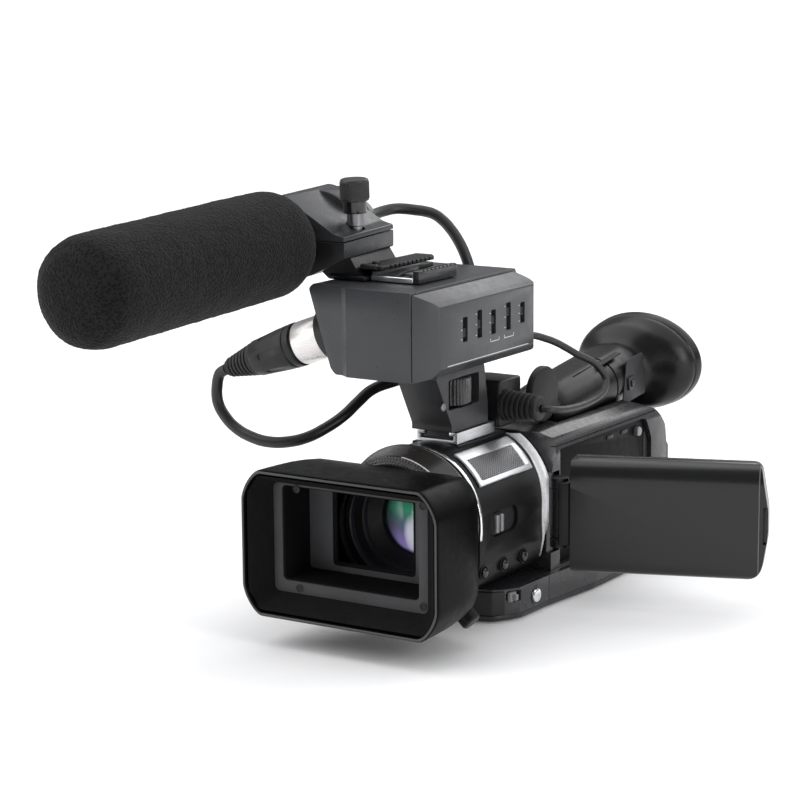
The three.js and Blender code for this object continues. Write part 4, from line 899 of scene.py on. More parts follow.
BASE = fillet([(-15, 76), (18, 76), (27, 79), (31, 85.5), (33.6, 92), (34.2, 112), (37.4, 150), (37.4, 220), (33, 227), (-30, 227), (-34.5, 222), (-34.5, 92), (-29, 81.5)],
              [4, 4, 5, 4, 3, 20, 20, 6, 5, 5, 4, 8, 8], 6)
bp = bevel(prism("z", BASE, -43, -40.3), 0.8, 3, 40)
bp = cut(bp, cyl("z", (0, 150), 4.6, -44, -39, 48), cyl("z", (0, 168), 2, -44, -39, 24))
fin(bp, "base_cover", "body2", "camera", "base_plate", ang=30)
fin(lathe("z", (0, 150), [(3.2, -42.6), (4.5, -42.6), (4.5, -40.3), (3.2, -40.3), (3.45, -40.9), (3.2, -41.3), (3.45, -41.8), (3.2, -42.2)], 64), "tripod_bush", "brass", "camera")
for i, (x, y) in enumerate([(-22, 96), (22, 96), (-22, 214), (24, 214)]):
    fin(lathe("z", (x, y), [(0.001, -43.0), (2.4, -43.0), (2.6, -42.7), (2.6, -42.2), (0.001, -42.2)], 32, False), f"base_screw_{i+1}", "steel", "camera")

# jack cover, switch, buttons of the lower front corner
jc = prism("z", fillet([(17, 73.1), (27.6, 76.1), (31.6, 80.4), (30.4, 80.9), (27.2, 77.6), (17, 74.7)], [0.5, 2.5, 0.4, 0.3, 2, 0.3], 6), -39.6, -29.6)
fin(bevel(jc, 0.45, 3, 40), "jack_cover_flap", "rubber", "jack_cover", "jack_cover")
rb = lathe("x", (101.6, -35.4), [(0.001, 31.5), (3.1, 31.5), (3.1, 35.2), (2.8, 35.7), (2.0, 36.0), (0.001, 36.0)], 56, False)
fin(rb, "round_key", "chrome", "round_button", "round_button")
fin(lathe("x", (101.6, -35.4), [(3.3, 34.2), (4.3, 34.2), (4.3, 35.0), (4.1, 35.15), (3.6, 35.15), (3.3, 34.9)], 56), "round_key_collar", "gloss", "camera")
ss = merge(bevel(block(32, 33.6, 81.6, 86.6, -34.2, -30.3), 0.3, 2), bevel(block(33.3, 35.6, 83.2, 85, -33.6, -30.9), 0.4, 3))
fin(ss, "slide_switch", "greymark", "side_switch", "side_switch")
fin(lathe("x", (202.4, 18.5), [(0.001, 30.4), (2.2, 30.4), (2.2, 32.2), (1.9, 32.6), (0.001, 32.7)], 40, False), "display_key", "ribmetal", "display_button", "display_button")
for i, (y, z) in enumerate([(176, 20.6), (190, 20.6)]):
    fin(bevel(block(30.6, 31.15, y - 3, y + 3, z - 0.9, z + 0.9), 0.2, 2), f"bay_mark_{i+1}", "black", "camera")
# loudspeaker slots inside the screen bay
for k in range(7):
    fin(bevel(block(30.6, 31.0, 140 + k * 2.6, 141.2 + k * 2.6, -2, 12), 0.12, 1), f"speaker_rib_{k+1}", "dark", "camera")

# rear: battery, record button, dial
bt = bevel(prism("y", fillet([(-14, -36), (22, -36), (22, 4), (-14, 4)], 3, 6), 230.4, 254), 1.2, 4, 40)
bt = cut(bt, block(-20, 30, 240.5, 241, 3.4, 6), block(-20, 30, 240.5, 241, -38, -35.4), block(21.4, 24, 240.5, 241, -40, 6), block(-16, -13.4, 240.5, 241, -40, 6))
fin(bt, "battery", "black", "camera", "battery_pack", ang=30)
fin(bevel(block(-2, 10, 252.6, 254.2, -4.5, -2.0), 0.4, 2), "battery_thumb_rib", "body2", "camera")
rc = merge(lathe("y", (-28, -6), [(0.001, 228.4), (6.1, 228.4), (6.1, 231.4), (5.7, 231.9), (4.9, 232.0), (4.6, 232.7), (3.9, 233.0), (2.0, 232.7), (0.001, 232.6)], 64, False))
fin(rc, "record_key", "red", "record_button", "record_button")
md = gear("y", (-28, -6), 10.5, 0.5, 40, 230.4, 234.4, 8, 0.4, 1.4, 6.9)
fin(md, "mode_ring", "black", "mode_dial", "mode_dial")
fin(bevel(block(-28.4, -27.6, 234.3, 234.6, 1.6, 3.8), 0.1, 1), "mode_ring_mark", "white", "mode_dial")

# grip with its strap
gp = prism("x", fillet([(122.4, -29.6), (223.6, -29.6), (223.6, 11.6), (122.4, 11.6)], [7, 9, 9, 7], 8), -47, -38.5)
gp = bevel(gp, 2.2, 5, 50)
gp = cut(gp, block(-44.6, -30, 124.8, 221.2, -27.2, 9.2))
fin(gp, "grip_lid", "grip", "cassette_lid", "cassette_lid", ang=30)
ring_ = [(p[0], p[1]) for p in fillet([(126, -26), (220, -26), (220, 8), (126, 8)], 7, 8)]
seam = loft([[(-47.15, u, v) for u, v in ring_], [(-46.9, u, v) for u, v in ring_],
             [(-46.9, 173 + (u - 173) * 0.985, -9 + (v + 9) * 0.96) for u, v in ring_], [(-47.15, 173 + (u - 173) * 0.985, -9 + (v + 9) * 0.96) for u, v in ring_]], True)
fin(seam, "grip_seam", "black", "cassette_lid")

ARCH = [(-47.4, 125.9), (-53.6, 127.2), (-60.6, 135.6), (-65.0, 152.4), (-66.3, 174), (-63.4, 197.2), (-55.8, 214.3), (-47.4, 220.3)]
path = catmull([(a, b, 0) for a, b in ARCH], 10)
def strap(name, mat, w0, w1, th0, th1, a, b, crown, mtl_T=None):
    loops, k = [], len(path)
    for i in range(a, b):
        p = path[i]
        d = path[min(i + 1, k - 1)] - path[max(i - 1, 0)]
        d = d / np.linalg.norm(d)
        nrm = np.array([-d[1], d[0], 0])
        if nrm[0] > 0:
            nrm = -nrm
        f = (i - a) / max(1, b - a - 1)
        e = min(1, min(f, 1 - f) * 8) ** 0.5
        w, th = w0 + (w1 - w0) * e, th0 + (th1 - th0) * e
        lp_ = []
        for u, v in rr(w, th, min(th / 2 - 0.02, 1.4), None, 0, 0, 5, 6):
            cr_ = crown * (1 - (2 * u / w) ** 2) * (1 if v > 0 else -0.4) * e
            quilt = 0.35 * e * (0.5 + 0.5 * cos(2 * pi * f * 9)) * (1 - (2 * u / w) ** 4) if mtl_T else 0
            q = p + nrm * (v + cr_ + (quilt if v > 0 else 0))
            lp_.append((q[0], q[1], -8 + u))
        loops.append(lp_)
    return loft(loops)
n_ = len(path)
band = fin(strap("b", "strap", 22, 22, 1.6, 1.6, 0, n_, 0), "strap_band", "strap", "cassette_lid", "hand_strap", ang=50)
pad = fin(strap("p", "strap", 24, 27.4, 2.2, 3.4, 14, n_ - 14, 0.7, True), "strap_pad", "strap", "cassette_lid", (), ang=50)
for i, (a, s_) in enumerate([(3, 1), (n_ - 4, -1)]):
    p = path[a]
    ends = bevel(block(-1.6, 1.6, -2.2, 2.2, -13.4, 13.4), 0.5, 3)
    ends.data.transform(Matrix.Translation((p[0] - 0.2, p[1], -8)))
    fin(ends, f"strap_end_{i+1}", "black", "cassette_lid")
# stitching along the pad
st = []
for row_ in (-11.6, 11.6):
    for i in range(18, n_ - 18, 1):
        p = path[i]
        d = path[i + 1] - path[i - 1]
        d = d / np.linalg.norm(d)
        nrm = np.array([-d[1], d[0], 0]) * (1 if -d[1] < 0 else -1)
        q = p + nrm * 2.15
        s_ = bevel(block(-0.25, 0.25, -0.7, 0.7, -0.22, 0.22), 0.12, 1) if False else block(-0.22, 0.22, -0.62, 0.62, -0.2, 0.2)
        s_.data.transform(Matrix.Translation((q[0], q[1], -8 + row_)) @ Matrix.Rotation(math.atan2(d[1], d[0]) - pi / 2, 4, "Z"))
        st.append(s_)
fin(merge(*st), "strap_stitching", "greymark", "cassette_lid", smooth=False)

zr = prism("x", fillet([(141, 33.2), (142, 35.4), (147.5, 34.7), (154.5, 34.7), (160, 35.4), (161, 33.2), (151, 32.4)], [0.5, 1, 4, 4, 1, 0.5, 1], 5), -22, -14.6)
fin(bevel(zr, 0.6, 3, 35), "zoom_key", "body2", "zoom_rocker", "zoom_rocker")
fin(lathe("z", (-18, 172), [(0.001, 31.2), (3.6, 31.2), (3.6, 33.3), (3.2, 33.8), (2.2, 34.0), (0.001, 33.8)], 48, False), "photo_key", "silver", "photo_button", "photo_button")
for n_name, mt in (("main_board", "board"), ("image_sensor", "board"), ("tape_deck", "steel")):
    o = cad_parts[n_name]
    o.data.materials.clear()
    o.data.materials.append(M[mt])

# ----------------------------------------------------------- fold-out screen
y0, y1, x0, x1 = 124.1, 208.9, 33.2, 43.2
LZ, z0, z1 = -1.8, -27.05, 23.45
def lcd_outline(e=0.0):
    pts = [(y0 + e, z0 + e), (y1 - 3.2 - e, z0 + e), (y1 - 0.2 - e, LZ - 6), (y1 - 0.2 - e, LZ + 6), (y1 - 3.4 - e, z1 - e), (y0 + e, z1 - e)]
    return fillet(pts, [2.6, 9, 40, 40, 4.6, 2.6], 12)
sect = [(x0 + 3, z0), (x0 + 3, z1)]
for t in np.radians(np.linspace(4, 86, 14)):
    sect.append((x1 - 6.4 + 6.4 * sin(t), z1 - 9.6 + 9.6 * cos(t)))
sect += [(x1, z1 - 12), (x1, z0 + 6)]
for t in np.radians(np.linspace(6, 84, 8)):
    sect.append((x1 - 3.4 + 3.4 * cos(t), z0 + 4.6 - 4.6 * sin(t)))
cv = both(prism("x", lcd_outline(), x0 + 3, x1), prism("y", sect, y0 - 2, y1 + 2))
cv = bevel(cv, 0.9, 4, 50)
cv = cut(cv, prism("x", lcd_outline(1.8), x0 - 1, x0 + 4.4))
sy = y1 - 4.0
grv = cut(prism("y", [(x0, z0 - 1), (x1 + 1, z0 - 1), (x1 + 1, z1 + 1), (x0, z1 + 1)], sy - 0.22, sy + 0.22), prism("y", [(a - 0.4 if a > x0 + 4 else a - 2, b + (0.4 if b < LZ else -0.4)) for a, b in sect], sy - 1, sy + 1))
cv = cut(cv, grv, block(x1 - 2.4, x1 + 1, y1 - 2.2, y1 + 1, LZ - 9, LZ + 7))
fin(cv, "screen_lid", "lcd", "lcd_panel", "lcd_cover", OPEN, ang=30)
# light grey insert in the seam groove of the lid: a painted highlight along the seam
ln = both(prism("y", [(a - 0.18 if a > x0 + 4 else a, b + (0.18 if b < LZ else -0.18)) for a, b in sect], sy - 0.2, sy + 0.2), prism("x", lcd_outline(0.15), x0 + 3, x1))
fin(ln, "screen_lid_seam_painted_highlight", "greymark", "lcd_panel", (), OPEN, ang=30)
fin(bevel(block(x1 - 3.2, x1 - 1.2, y1 - 3.4, y1 - 0.9, LZ - 8.6, LZ + 6.6), 0.4, 3), "screen_latch", "black", "lcd_panel", (), OPEN)
bz = prism("x", lcd_outline(0.0), x0, x0 + 2.7)
bz = bevel(cut(bz, block(x0 - 1, x0 + 5, y0 + 9.5, y0 + 70.5, LZ - 17.5, LZ + 17.5)), 0.5, 3, 50)
fin(bz, "screen_bezel", "body", "lcd_panel", "lcd_bezel", OPEN, ang=30)
fin(bevel(block(x0 + 0.7, x0 + 4.7, y0 + 9.8, y0 + 70.2, LZ - 17.2, LZ + 17.2), 0.2, 2), "screen_glass", "screen", "lcd_panel", "lcd_screen", OPEN)
for k in range(4):
    zz = LZ - 9 + 6 * k
    fin(bevel(block(x0 - 0.35, x0 + 1, y0 + 74, y0 + 77.2, zz - 1.2, zz + 1.2), 0.25, 2), f"screen_key_{k+1}", "black", "lcd_panel", (), OPEN)
arm = bevel(block(35.0, 41.4, 118.5, 123.8, LZ - 14, LZ + 14), 0.8, 3)
pin = merge(bevel(cyl("z", (36.6, 118.5), 4, LZ - 15.5, LZ - 11.2, 64), 0.5, 3), bevel(cyl("z", (36.6, 118.5), 4, LZ - 10.7, LZ + 10.7, 64), 0.5, 3), bevel(cyl("z", (36.6, 118.5), 4, LZ + 11.2, LZ + 15.5, 64), 0.5, 3))
pin = join(pin, cyl("z", (36.6, 118.5), 3.2, LZ - 12, LZ + 12, 48))
fin(join(pin, arm), "hinge_arm", "black", "lcd_arm", "lcd_arm", OPEN, ang=30)

# ---------------------------------------------------------------- viewfinder
NV = 120
def vsec(y, w, h, zc, r):
    return [(u, y, v) for u, v in even(w, h, r, r, 5, zc, NV)]
KO = [(151.5, 20, 16.4, 32.6, 7), (152.6, 23, 19, 32.6, 8), (157, 28, 23, 32.8, 9.6), (166, 30, 24, 33, 11.4), (205, 31, 24.4, 32.4, 11.6), (230, 31.4, 25.6, 31, 12.2)]
ys = [151.5, 151.9, 152.6, 154, 157, 161, 166, 175, 185, 195, 203, 203.3, 204.1, 204.4, 212, 220, 226, 229.2, 229.8, 230]
loops = []
for y, (w, h, zc, r) in zip(ys, smooth_keys(KO, ys)):
    k = 0.5 if y in (203.3, 204.1) else 0.35 if y == 230 else 0.1 if y == 229.8 else 0
    loops.append(vsec(y, w - 2 * k, h - 2 * k, zc, r))
KI = [(168, 18, 14, 33, 6), (176, 24, 18.6, 33, 8), (205, 25, 19, 32.4, 8), (230, 25, 20, 31, 8)]
yi = [230, 220, 205, 190, 176, 168]
inner = [vsec(y, w, h, zc, r) for y, (w, h, zc, r) in zip(yi, smooth_keys(KI, yi))]
tb = loft(loops + inner)
tb = cut(tb, prism("x", [(212, 60), (211.6, 43.4), (205, 20), (205.5, 20), (212.1, 43.4), (212.5, 60)], 19.6, 24), block(12.2, 13.0, 176, 211.8, 44.1, 48), block(15.0, 15.6, 176, 211.8, 43.8, 48))
fin(tb, "viewfinder_barrel", "vfbody", "viewfinder", "viewfinder_tube", VF, ang=35)
fac = prism("x", fillet([(213.2, 42), (206.6, 22.2), (229.6, 21.4), (229.6, 41.4)], [2, 2, 1, 2], 4), 20.3, 20.95)
fac2 = [(u, v) for u, v in fillet([(213.2, 42), (206.6, 22.2), (229.6, 21.4), (229.6, 41.4)], [2, 2, 1, 2], 4)]
fin(bevel(fac, 0.2, 2), "viewfinder_side_plate", "vfplate", "viewfinder", (), VF)
fin(bevel(block(13.5, 17, 196, 215, 44.25, 44.9), 0.2, 2), "viewfinder_slot", "dark", "viewfinder", (), VF)

def ell(a, b, y, cx, cz, n=128):
    return [(cx + a * cos(2 * pi * i / n), y, cz + b * sin(2 * pi * i / n)) for i in range(n)]
EO = [(230.4, 15, 12.8, 5, 31), (233.5, 17.8, 15.2, 5.2, 31), (236, 21.6, 17.8, 5.9, 30.8), (238.5, 26, 20.2, 7, 30.5), (242, 28.8, 21.9, 8.0, 30.3), (245, 30.1, 22.8, 8.6, 30.2), (247.6, 30.5, 23.1, 8.8, 30.2), (251.4, 30.8, 23.4, 9.2, 30.2), (252.6, 30.5, 23.1, 9.2, 30.2), (253, 30, 22.6, 9.2, 30.2)]
EI = [(253, 29.4, 22.0, 9.2, 30.2), (252.5, 29.0, 21.6, 9.2, 30.2), (247, 27.8, 20.6, 8.6, 30.2), (243, 24.8, 18.6, 7.6, 30.4), (240, 20.5, 16, 6.6, 30.6), (236, 13, 11.4, 5.5, 31), (233, 11.6, 10, 5.1, 31), (230.4, 11, 9.6, 5, 31)]
yo = list(np.linspace(230.4, 246.8, 22)) + [247.0, 247.3, 247.6, 248.2] + list(np.linspace(249, 251.4, 4)) + [252.0, 252.6, 253]
def rimk(y):
    return 0.55 if 247.0 <= y <= 247.35 else 0.3 if 246.7 < y < 247.0 else 0.0
E = [ell(a - rimk(y), b - rimk(y), y, cx, cz) for y, (a, b, cx, cz) in zip(yo, smooth_keys(EO, yo))]
ri = sorted(EI, key=lambda r_: r_[0])
yy = [253, 252.5] + list(np.linspace(251, 230.4, 22))
E += [ell(a, b, y, cx, cz) for y, (a, b, cx, cz) in zip(yy, smooth_keys(ri, yy))]
fin(loft(E, True), "eyecup_rubber", "cup", "viewfinder", "eyecup", VF, ang=60)
fin(lathe("y", (5, 31), [(8.9, 228.6), (11.6, 228.6), (11.6, 230.3), (9.6, 230.3)], 64), "eyepiece_frame", "gloss", "viewfinder", (), VF)
pr = [(0.001, 224.5), (8.6, 224.5), (8.6, 226.6)] + [(8.6 * cos(t), 226.6 + 1.6 * sin(t)) for t in np.linspace(0.1, pi / 2, 10)]
fin(lathe("y", (5, 31), pr, 64, False), "eyepiece_glass", "screen", "viewfinder", "eyepiece_lens", VF)
dl = merge(bevel(block(20.9, 22.1, 212, 218, 27.6, 33.6), 0.4, 2), bevel(block(21.9, 23, 213.4, 216.6, 29, 32.2), 0.4, 3))
fin(dl, "diopter_slider", "body2", "diopter_lever", "diopter_lever", VF)
fin(bevel(cyl("x", (160, 33), 6.5, -11.1, -9.6, 48), 0.3, 2), "viewfinder_pivot_left", "black", "viewfinder", (), None)

# ------------------------------------------------------------------- adapter
SH = fillet([(-31.4, 67), (-29, 64.5), (10.4, 64.5), (10.4, 102), (-40, 102), (-42.8, 100)], [2.5, 2.5, 0.3, 0.3, 2.5, 2.5], 6)
ad = prism("y", SH, 40, 131)
ad = cut(ad, prism("z", [(-60, 30), (-21.2, 30), (-21.2, 39.9), (-21.4, 40.5), (-24.6, 42.4), (-24.8, 42.9), (-60, 46.4)], 50, 110), prism("x", [(124, 104), (128.4, 98), (131, 91.6), (136, 91), (136, 110)], -60, 12))
ad = bevel(ad, 1.1, 4, 24)
def sock(y, r):
    h = cyl("x", (y, 80), r, -50, -20, 64)
    h.data.transform(SLANT)
    return h
ad = cut(ad, block(-9.6, 10.5, 60, 103.4, 60, 64.56), sock(56, 11.9), sock(86, 11.9))
fin(ad, "adapter_casing", "grey", "camera", "adapter_shell", ang=26)
for i, y in enumerate((56, 86)):
    r_ = lathe("x", (y, 80), [(10.0, -24.6), (11.6, -24.6), (11.6, -39.7), (11.45, -40.0), (11.2, -40.1), (10.4, -40.1), (10.0, -39.8)], 80)
    fin(bevel(r_, 0.15, 2), f"socket_collar_{i+1}", "black", "camera", "xlr_sockets" if i == 0 else (), SLANT)
    fin(lathe("x", (y, 80), [(0.001, -25.2), (11.5, -25.2), (11.5, -24.2), (0.001, -24.2)], 64, False), f"socket_floor_{i+1}", "dark", "camera", (), SLANT)
    if i == 1:
        for k in range(3):
            t = radians(90 + 120 * k)
            pn = lathe("x", (y + 4.6 * cos(t), 80 + 4.6 * sin(t)), [(0.001, -35), (0.8, -34.6), (1.1, -34), (1.1, -25), (0.001, -25)], 24, False)
            fin(pn, f"socket_pin_{k+1}", "brass", "camera", (), SLANT)
PX = fillet([(10.75, 64.6), (16.0, 66.0), (19, 69.6), (19, 95.4), (16.8, 97.4), (10.75, 101.2)], [0.4, 2, 1.4, 1.4, 1.6, 0.4], 6)
sp = prism("y", PX, 40, 131)
sp = both(sp, prism("z", fillet([(10.0, 40), (19.2, 49.6), (19.2, 126.4), (16.6, 131), (10.0, 131)], [0, 2.2, 2.6, 2.5, 0], 6), 60, 110),
          prism("x", fillet([(30, 60), (127, 60), (131, 67.6), (131, 91), (127.2, 98.2), (120, 103.4), (30, 103.4)], [0, 3, 4, 4, 4, 3, 0], 6), 5, 30))
sp = bevel(sp, 0.5, 3, 26)
YS = [69.2, 81, 92.4, 105, 117]
TOPS = [89, 90.4, 89, 90.4, 89]
LOWS = [78.6, 78.6, 78.6, 78.6, 80]
sp = cut(sp, *[prism("x", fillet([(y - 1.9, lo), (y + 1.9, lo), (y + 1.9, hi), (y - 1.9, hi)], 0.5, 3), 16.2, 20) for y, lo, hi in zip(YS, LOWS, TOPS)])
fin(sp, "adapter_side_cover", "grey", "camera", "adapter_side_panel", ang=26)
for i, (y, lo, hi) in enumerate(zip(YS, LOWS, TOPS)):
    fin(block(16.0, 16.25, y - 1.8, y + 1.8, lo + 0.1, hi - 0.1), f"slot_floor_{i+1}", "dark", "camera", smooth=False)
ZC = [82.4, 84.4, 84.6, 86.4, 85.2]
for i, (y, zc) in enumerate(zip(YS, ZC)):
    nub = bevel(block(16.3, 18.6, y - 1.4, y + 1.4, zc - 1.8, zc + 1.8), 0.3, 2)
    nub = cut(nub, *[block(18.25, 19, y - 2, y + 2, zc + d - 0.14, zc + d + 0.14) for d in (-0.8, 0, 0.8)])
    fin(nub, f"level_slider_{i+1}", "black", f"adapter_switch_{i+1}", f"adapter_switch_{i+1}")
# printed marks of the side: index lines and frames, no lettering
marks = []
def line(ya, za, yb, zb, w=0.28):
    d = Vector((yb - ya, zb - za)).normalized()
    n = Vector((-d.y, d.x)) * w / 2
    marks.append(prism("x", [(ya + n.x, za + n.y), (ya - n.x, za - n.y), (yb - n.x, zb - n.y), (yb + n.x, zb + n.y)], 19.0, 19.06))
line(55, 70.2, 122, 70.2, 0.35)
for y, lo, hi in zip(YS, LOWS, TOPS):
    for f in (0.12, 0.5, 0.88):
        z = lo + (hi - lo) * f
        line(y - 3.4, z, y - 2.6, z, 0.3)
for ya, yb in ((89.8, 97.0), (101.4, 109.2)):
    line(ya, 75.6, yb, 75.6)
    line(ya, 75.6, ya, 77.0)
    line(yb, 75.6, yb, 77.0)
fin(merge(*marks), "adapter_marks", "white", "camera", smooth=False)

nk = prism("x", fillet([(60, 64.2), (73, 41), (73, 38.2), (103, 38.2), (103, 46), (100, 64.2)], [1.5, 3, 0.6, 0.6, 3, 1.5], 5), -10, 10)
nk = bevel(nk, 0.9, 3, 30)
nk = cut(nk, prism("x", fillet([(70.5, 48.2), (95.4, 48.2), (95.4, 61.2), (70.5, 61.2)], 1.2, 4), -2, 12), cyl("z", (0, 84), 11.2, 47.9, 61.3, 64))
nk = join(nk, bevel(block(-5.9, 5.9, 78, 99, 34.3, 39), 0.2, 2), bevel(block(-7.9, 7.9, 78, 99, 34.3, 35.5), 0.2, 2))
fin(nk, "adapter_neck_casting", "neck", "camera", "adapter_neck", ang=30)
cw = gear("z", (0.6, 84), 10.6, 0.75, 40, 48.6, 60.6, 8, 0.5, 1.0)
fin(cw, "clamp_wheel_knurled", "wheel", "clamp_wheel", "clamp_wheel", ang=45)
fin(merge(lathe("x", (66.0, 50.5), [(0.001, 9.9), (1.7, 9.9), (1.7, 10.3), (1.4, 10.5), (0.001, 10.5)], 32, False)), "neck_screw", "steel", "camera")

tx, tz = -11.5, 102.3
ts = join(block(tx - 10.3, tx + 10.3, 61, 95, tz, tz + 1), block(tx - 10.3, tx - 8.3, 61, 95, tz, tz + 4.2), block(tx + 8.3, tx + 10.3, 61, 95, tz, tz + 4.2),
          block(tx - 10.3, tx - 6.2, 61, 95, tz + 3, tz + 4.2), block(tx + 6.2, tx + 10.3, 61, 95, tz + 3, tz + 4.2))
fin(bevel(ts, 0.18, 2), "top_shoe", "steel", "camera", "adapter_top_shoe")
fin(bevel(block(tx - 10.4, tx + 10.4, 60.4, 61.4, tz + 0.2, tz + 2.4), 0.4, 3), "top_shoe_front_bar", "silver", "camera")
scv = bevel(block(tx + 10.3, tx + 13.4, 60.6, 91, tz, tz + 5.6), 0.5, 3)
scv = cut(scv, *[block(tx + 9.9, tx + 14, 64 + 3.1 * k, 64.9 + 3.1 * k, tz + 4.9, tz + 7) for k in range(10)])
fin(scv, "top_shoe_side_cover", "body", "camera", ang=30)
for i, s_ in enumerate((-1, 1)):
    spg = []
    for k in range(21):
        y = 64 + 28 * k / 20
        zz = tz + 1.15 + 1.5 * sin(pi * k / 20) ** 2
        spg.append([(tx + s_ * 3.4 - 1.6, y, zz), (tx + s_ * 3.4 + 1.6, y, zz), (tx + s_ * 3.4 + 1.6, y, zz + 0.3), (tx + s_ * 3.4 - 1.6, y, zz + 0.3)])
    fin(loft(spg), f"top_shoe_spring_{i+1}", "steel", "camera")

# --------------------------------------------------- microphone and holder
c0 = (-58, 118.6)
up = [(-19, 0.2), (-18.6, 6), (-15.5, 12.4), (-10, 16.8), (-4.5, 18.2), (-1.2, 17.8), (23, 3.5), (28, 2.3), (28.2, 0.2)]
dn = [(28.2, -0.2), (28, -7), (11.7, -14.6), (7, -16.2), (-1, -17.2), (-9, -15.4), (-15, -11.5), (-18.6, -6), (-19, -0.2)]
def off(p, r_):
    return fillet([(q[0] + c0[0], q[1] + c0[1]) for q in p], r_, 5)
kx, ky = c0[0] + 22.4, 70.5
uj = prism("y", off(up, [0.4, 8, 8, 8, 5, 3, 6, 0.8, 0.4]), 52.6, 91)
uj = bevel(uj, 0.8, 3, 40)
hump = both(bevel(cyl("y", c0, 17.6, 77, 91, 96), 0.8, 3, 40), block(c0[0] - 20, c0[0] + 20, 70, 100, c0[1] + 0.2, c0[1] + 20))
uj = join(uj, hump)
uj = cut(uj, cyl("y", c0, 10.85, 50, 94, 96), cyl("z", (kx, ky), 4.0, c0[1] - 20, c0[1] + 20, 48))
fin(uj, "holder_upper_jaw", "grey2", "mic_clamp_jaw", "mic_clamp_jaw", TIP, ang=26)
lj = prism("y", off(dn, [0.4, 0.8, 3, 5, 8, 8, 8, 8, 0.4]), 52.6, 91)
lj = bevel(lj, 0.8, 3, 40)
ft = prism("y", fillet([(-46, 106), (-41.4, 102.3), (-25.6, 102.3), (-25.6, 104.6), (-31.4, 113), (-34, 116), (-46, 116)], [1, 1, 1, 1, 3, 1, 1], 5), 58, 90)
lj.data.transform(TIP)
pl_ = bevel(block(-41, -22.6, 57, 112, 102.3, 104.4), 0.6, 3)
top_cut = block(-100, 0, 0, 140, 118.4, 160)
top_cut.data.transform(TIP)
ft = cut(ft, top_cut)
bore, hole = cyl("y", c0, 10.85, 40, 110, 96), cyl("z", (kx, ky), 3.5, 90, 140, 48)
bore.data.transform(TIP)
hole.data.transform(TIP)
lj = fin(cut(lj, bore, hole), "holder_lower_jaw", "grey2", "camera", "mic_holder_base", ang=26)
lj.data.materials.append(M["black"])
for f_ in lj.data.polygons:
    if f_.normal.y < -0.6:
        f_.material_index = 1
env = cyl("y", c0, 15.2, 0, 140, 64)
env.data.transform(TIP)
fin(cut(join(ft, pl_), env), "holder_foot", "black", "camera", ang=30)
hp = bevel(prism("z", fillet([(-27.4, 60), (-15.6, 60), (-15.6, 101), (-19, 105), (-27.4, 105)], [1, 1.5, 2, 2, 1], 4), 107.0, 108.7), 0.4, 3)
hp = cut(hp, *[block(-16.6, -14, 66 + 3.4 * k, 66.9 + 3.4 * k, 106, 110) for k in range(10)])
fin(hp, "holder_foot_plate", "black", "camera", ang=30)
fin(merge(bevel(block(-25.6, -17.4, 57.6, 60.4, 107.2, 109.6), 0.8, 4), bevel(cyl("z", (-21.5, 64), 1.6, 108.4, 110.2, 40), 0.3, 2)), "holder_foot_lever", "black", "camera")
fin(bevel(lathe("y", c0, [(10.6, 52.0), (13.6, 52.0), (13.6, 52.5), (10.6, 52.5)], 96), 0.15, 2), "holder_front_seal", "rubber", "camera", (), TIP)
fin(bevel(lathe("y", c0, [(10.55, 91.1), (13.2, 91.1), (13.2, 92.4), (10.55, 92.4)], 96), 0.2, 2), "holder_rear_seal", "rubber", "camera", (), TIP)

# clamp knob: diamond knurl, black neck, plated stud
def knurl(c, r, a0, a1, nt, seg, rows, depth):
    L = [circle("z", c, r - 0.9, a0, seg), circle("z", c, r - 0.35, a0 + 0.3, seg)]
    for j in range(rows + 1):
        a = a0 + 0.9 + (a1 - a0 - 2.2) * j / rows
        lp_ = []
        for i in range(seg):
            t = 2 * pi * i / seg
            p1 = abs(((t * nt / (2 * pi) + (a - a0) / 1.1) % 1) - 0.5) * 2
            p2 = abs(((t * nt / (2 * pi) - (a - a0) / 1.1) % 1) - 0.5) * 2
            q = r - depth * (1 - min(p1, p2)) if 0 < j < rows else r - depth
            lp_.append((c[0] + q * cos(t), c[1] + q * sin(t), a))
        L.append(lp_)
    L += [circle("z", c, r - 0.3, a1 - 0.9, seg), circle("z", c, r - 0.7, a1 - 0.4, seg), circle("z", c, r - 1.4, a1 - 0.08, seg), circle("z", c, r - 2.2, a1, seg)]
    return loft(L)
kc = (kx, ky)
fin(knurl(kc, 6.4, c0[1] + 15, c0[1] + 24.6, 40, 240, 40, 0.38), "clamp_knob_cap", "knob", "clamp_knob", "clamp_knob", TIP, ang=50)
fin(bevel(lathe("z", kc, [(0.5, c0[1] + 9.9), (4.9, c0[1] + 9.9), (5.1, c0[1] + 10.3), (5.1, c0[1] + 15.1), (0.5, c0[1] + 15.1)], 64), 0.1, 1), "clamp_knob_neck", "gloss", "clamp_knob", (), TIP)
fin(bevel(lathe("z", kc, [(0.5, c0[1] - 5), (2.8, c0[1] - 5), (2.8, c0[1] + 4.4), (3.6, c0[1] + 4.6), (3.6, c0[1] + 9.9), (0.5, c0[1] + 9.9)], 64), 0.1, 1), "clamp_knob_stud", "steel", "clamp_knob", (), TIP)

mt = lathe("y", c0, [(9.0, -60), (10.3, -60), (10.5, -59.6), (10.5, 100), (10.2, 101), (10.2, 101.6), (10.5, 102), (10.5, 105), (9.8, 106), (6.4, 106.4), (6.0, 107), (5.7, 111.6), (5.2, 112), (3, 112), (3, 108), (9.0, 104)], 96)
fin(mt, "microphone_tube", "gloss", "camera", "mic_tube", TIP, ang=30)

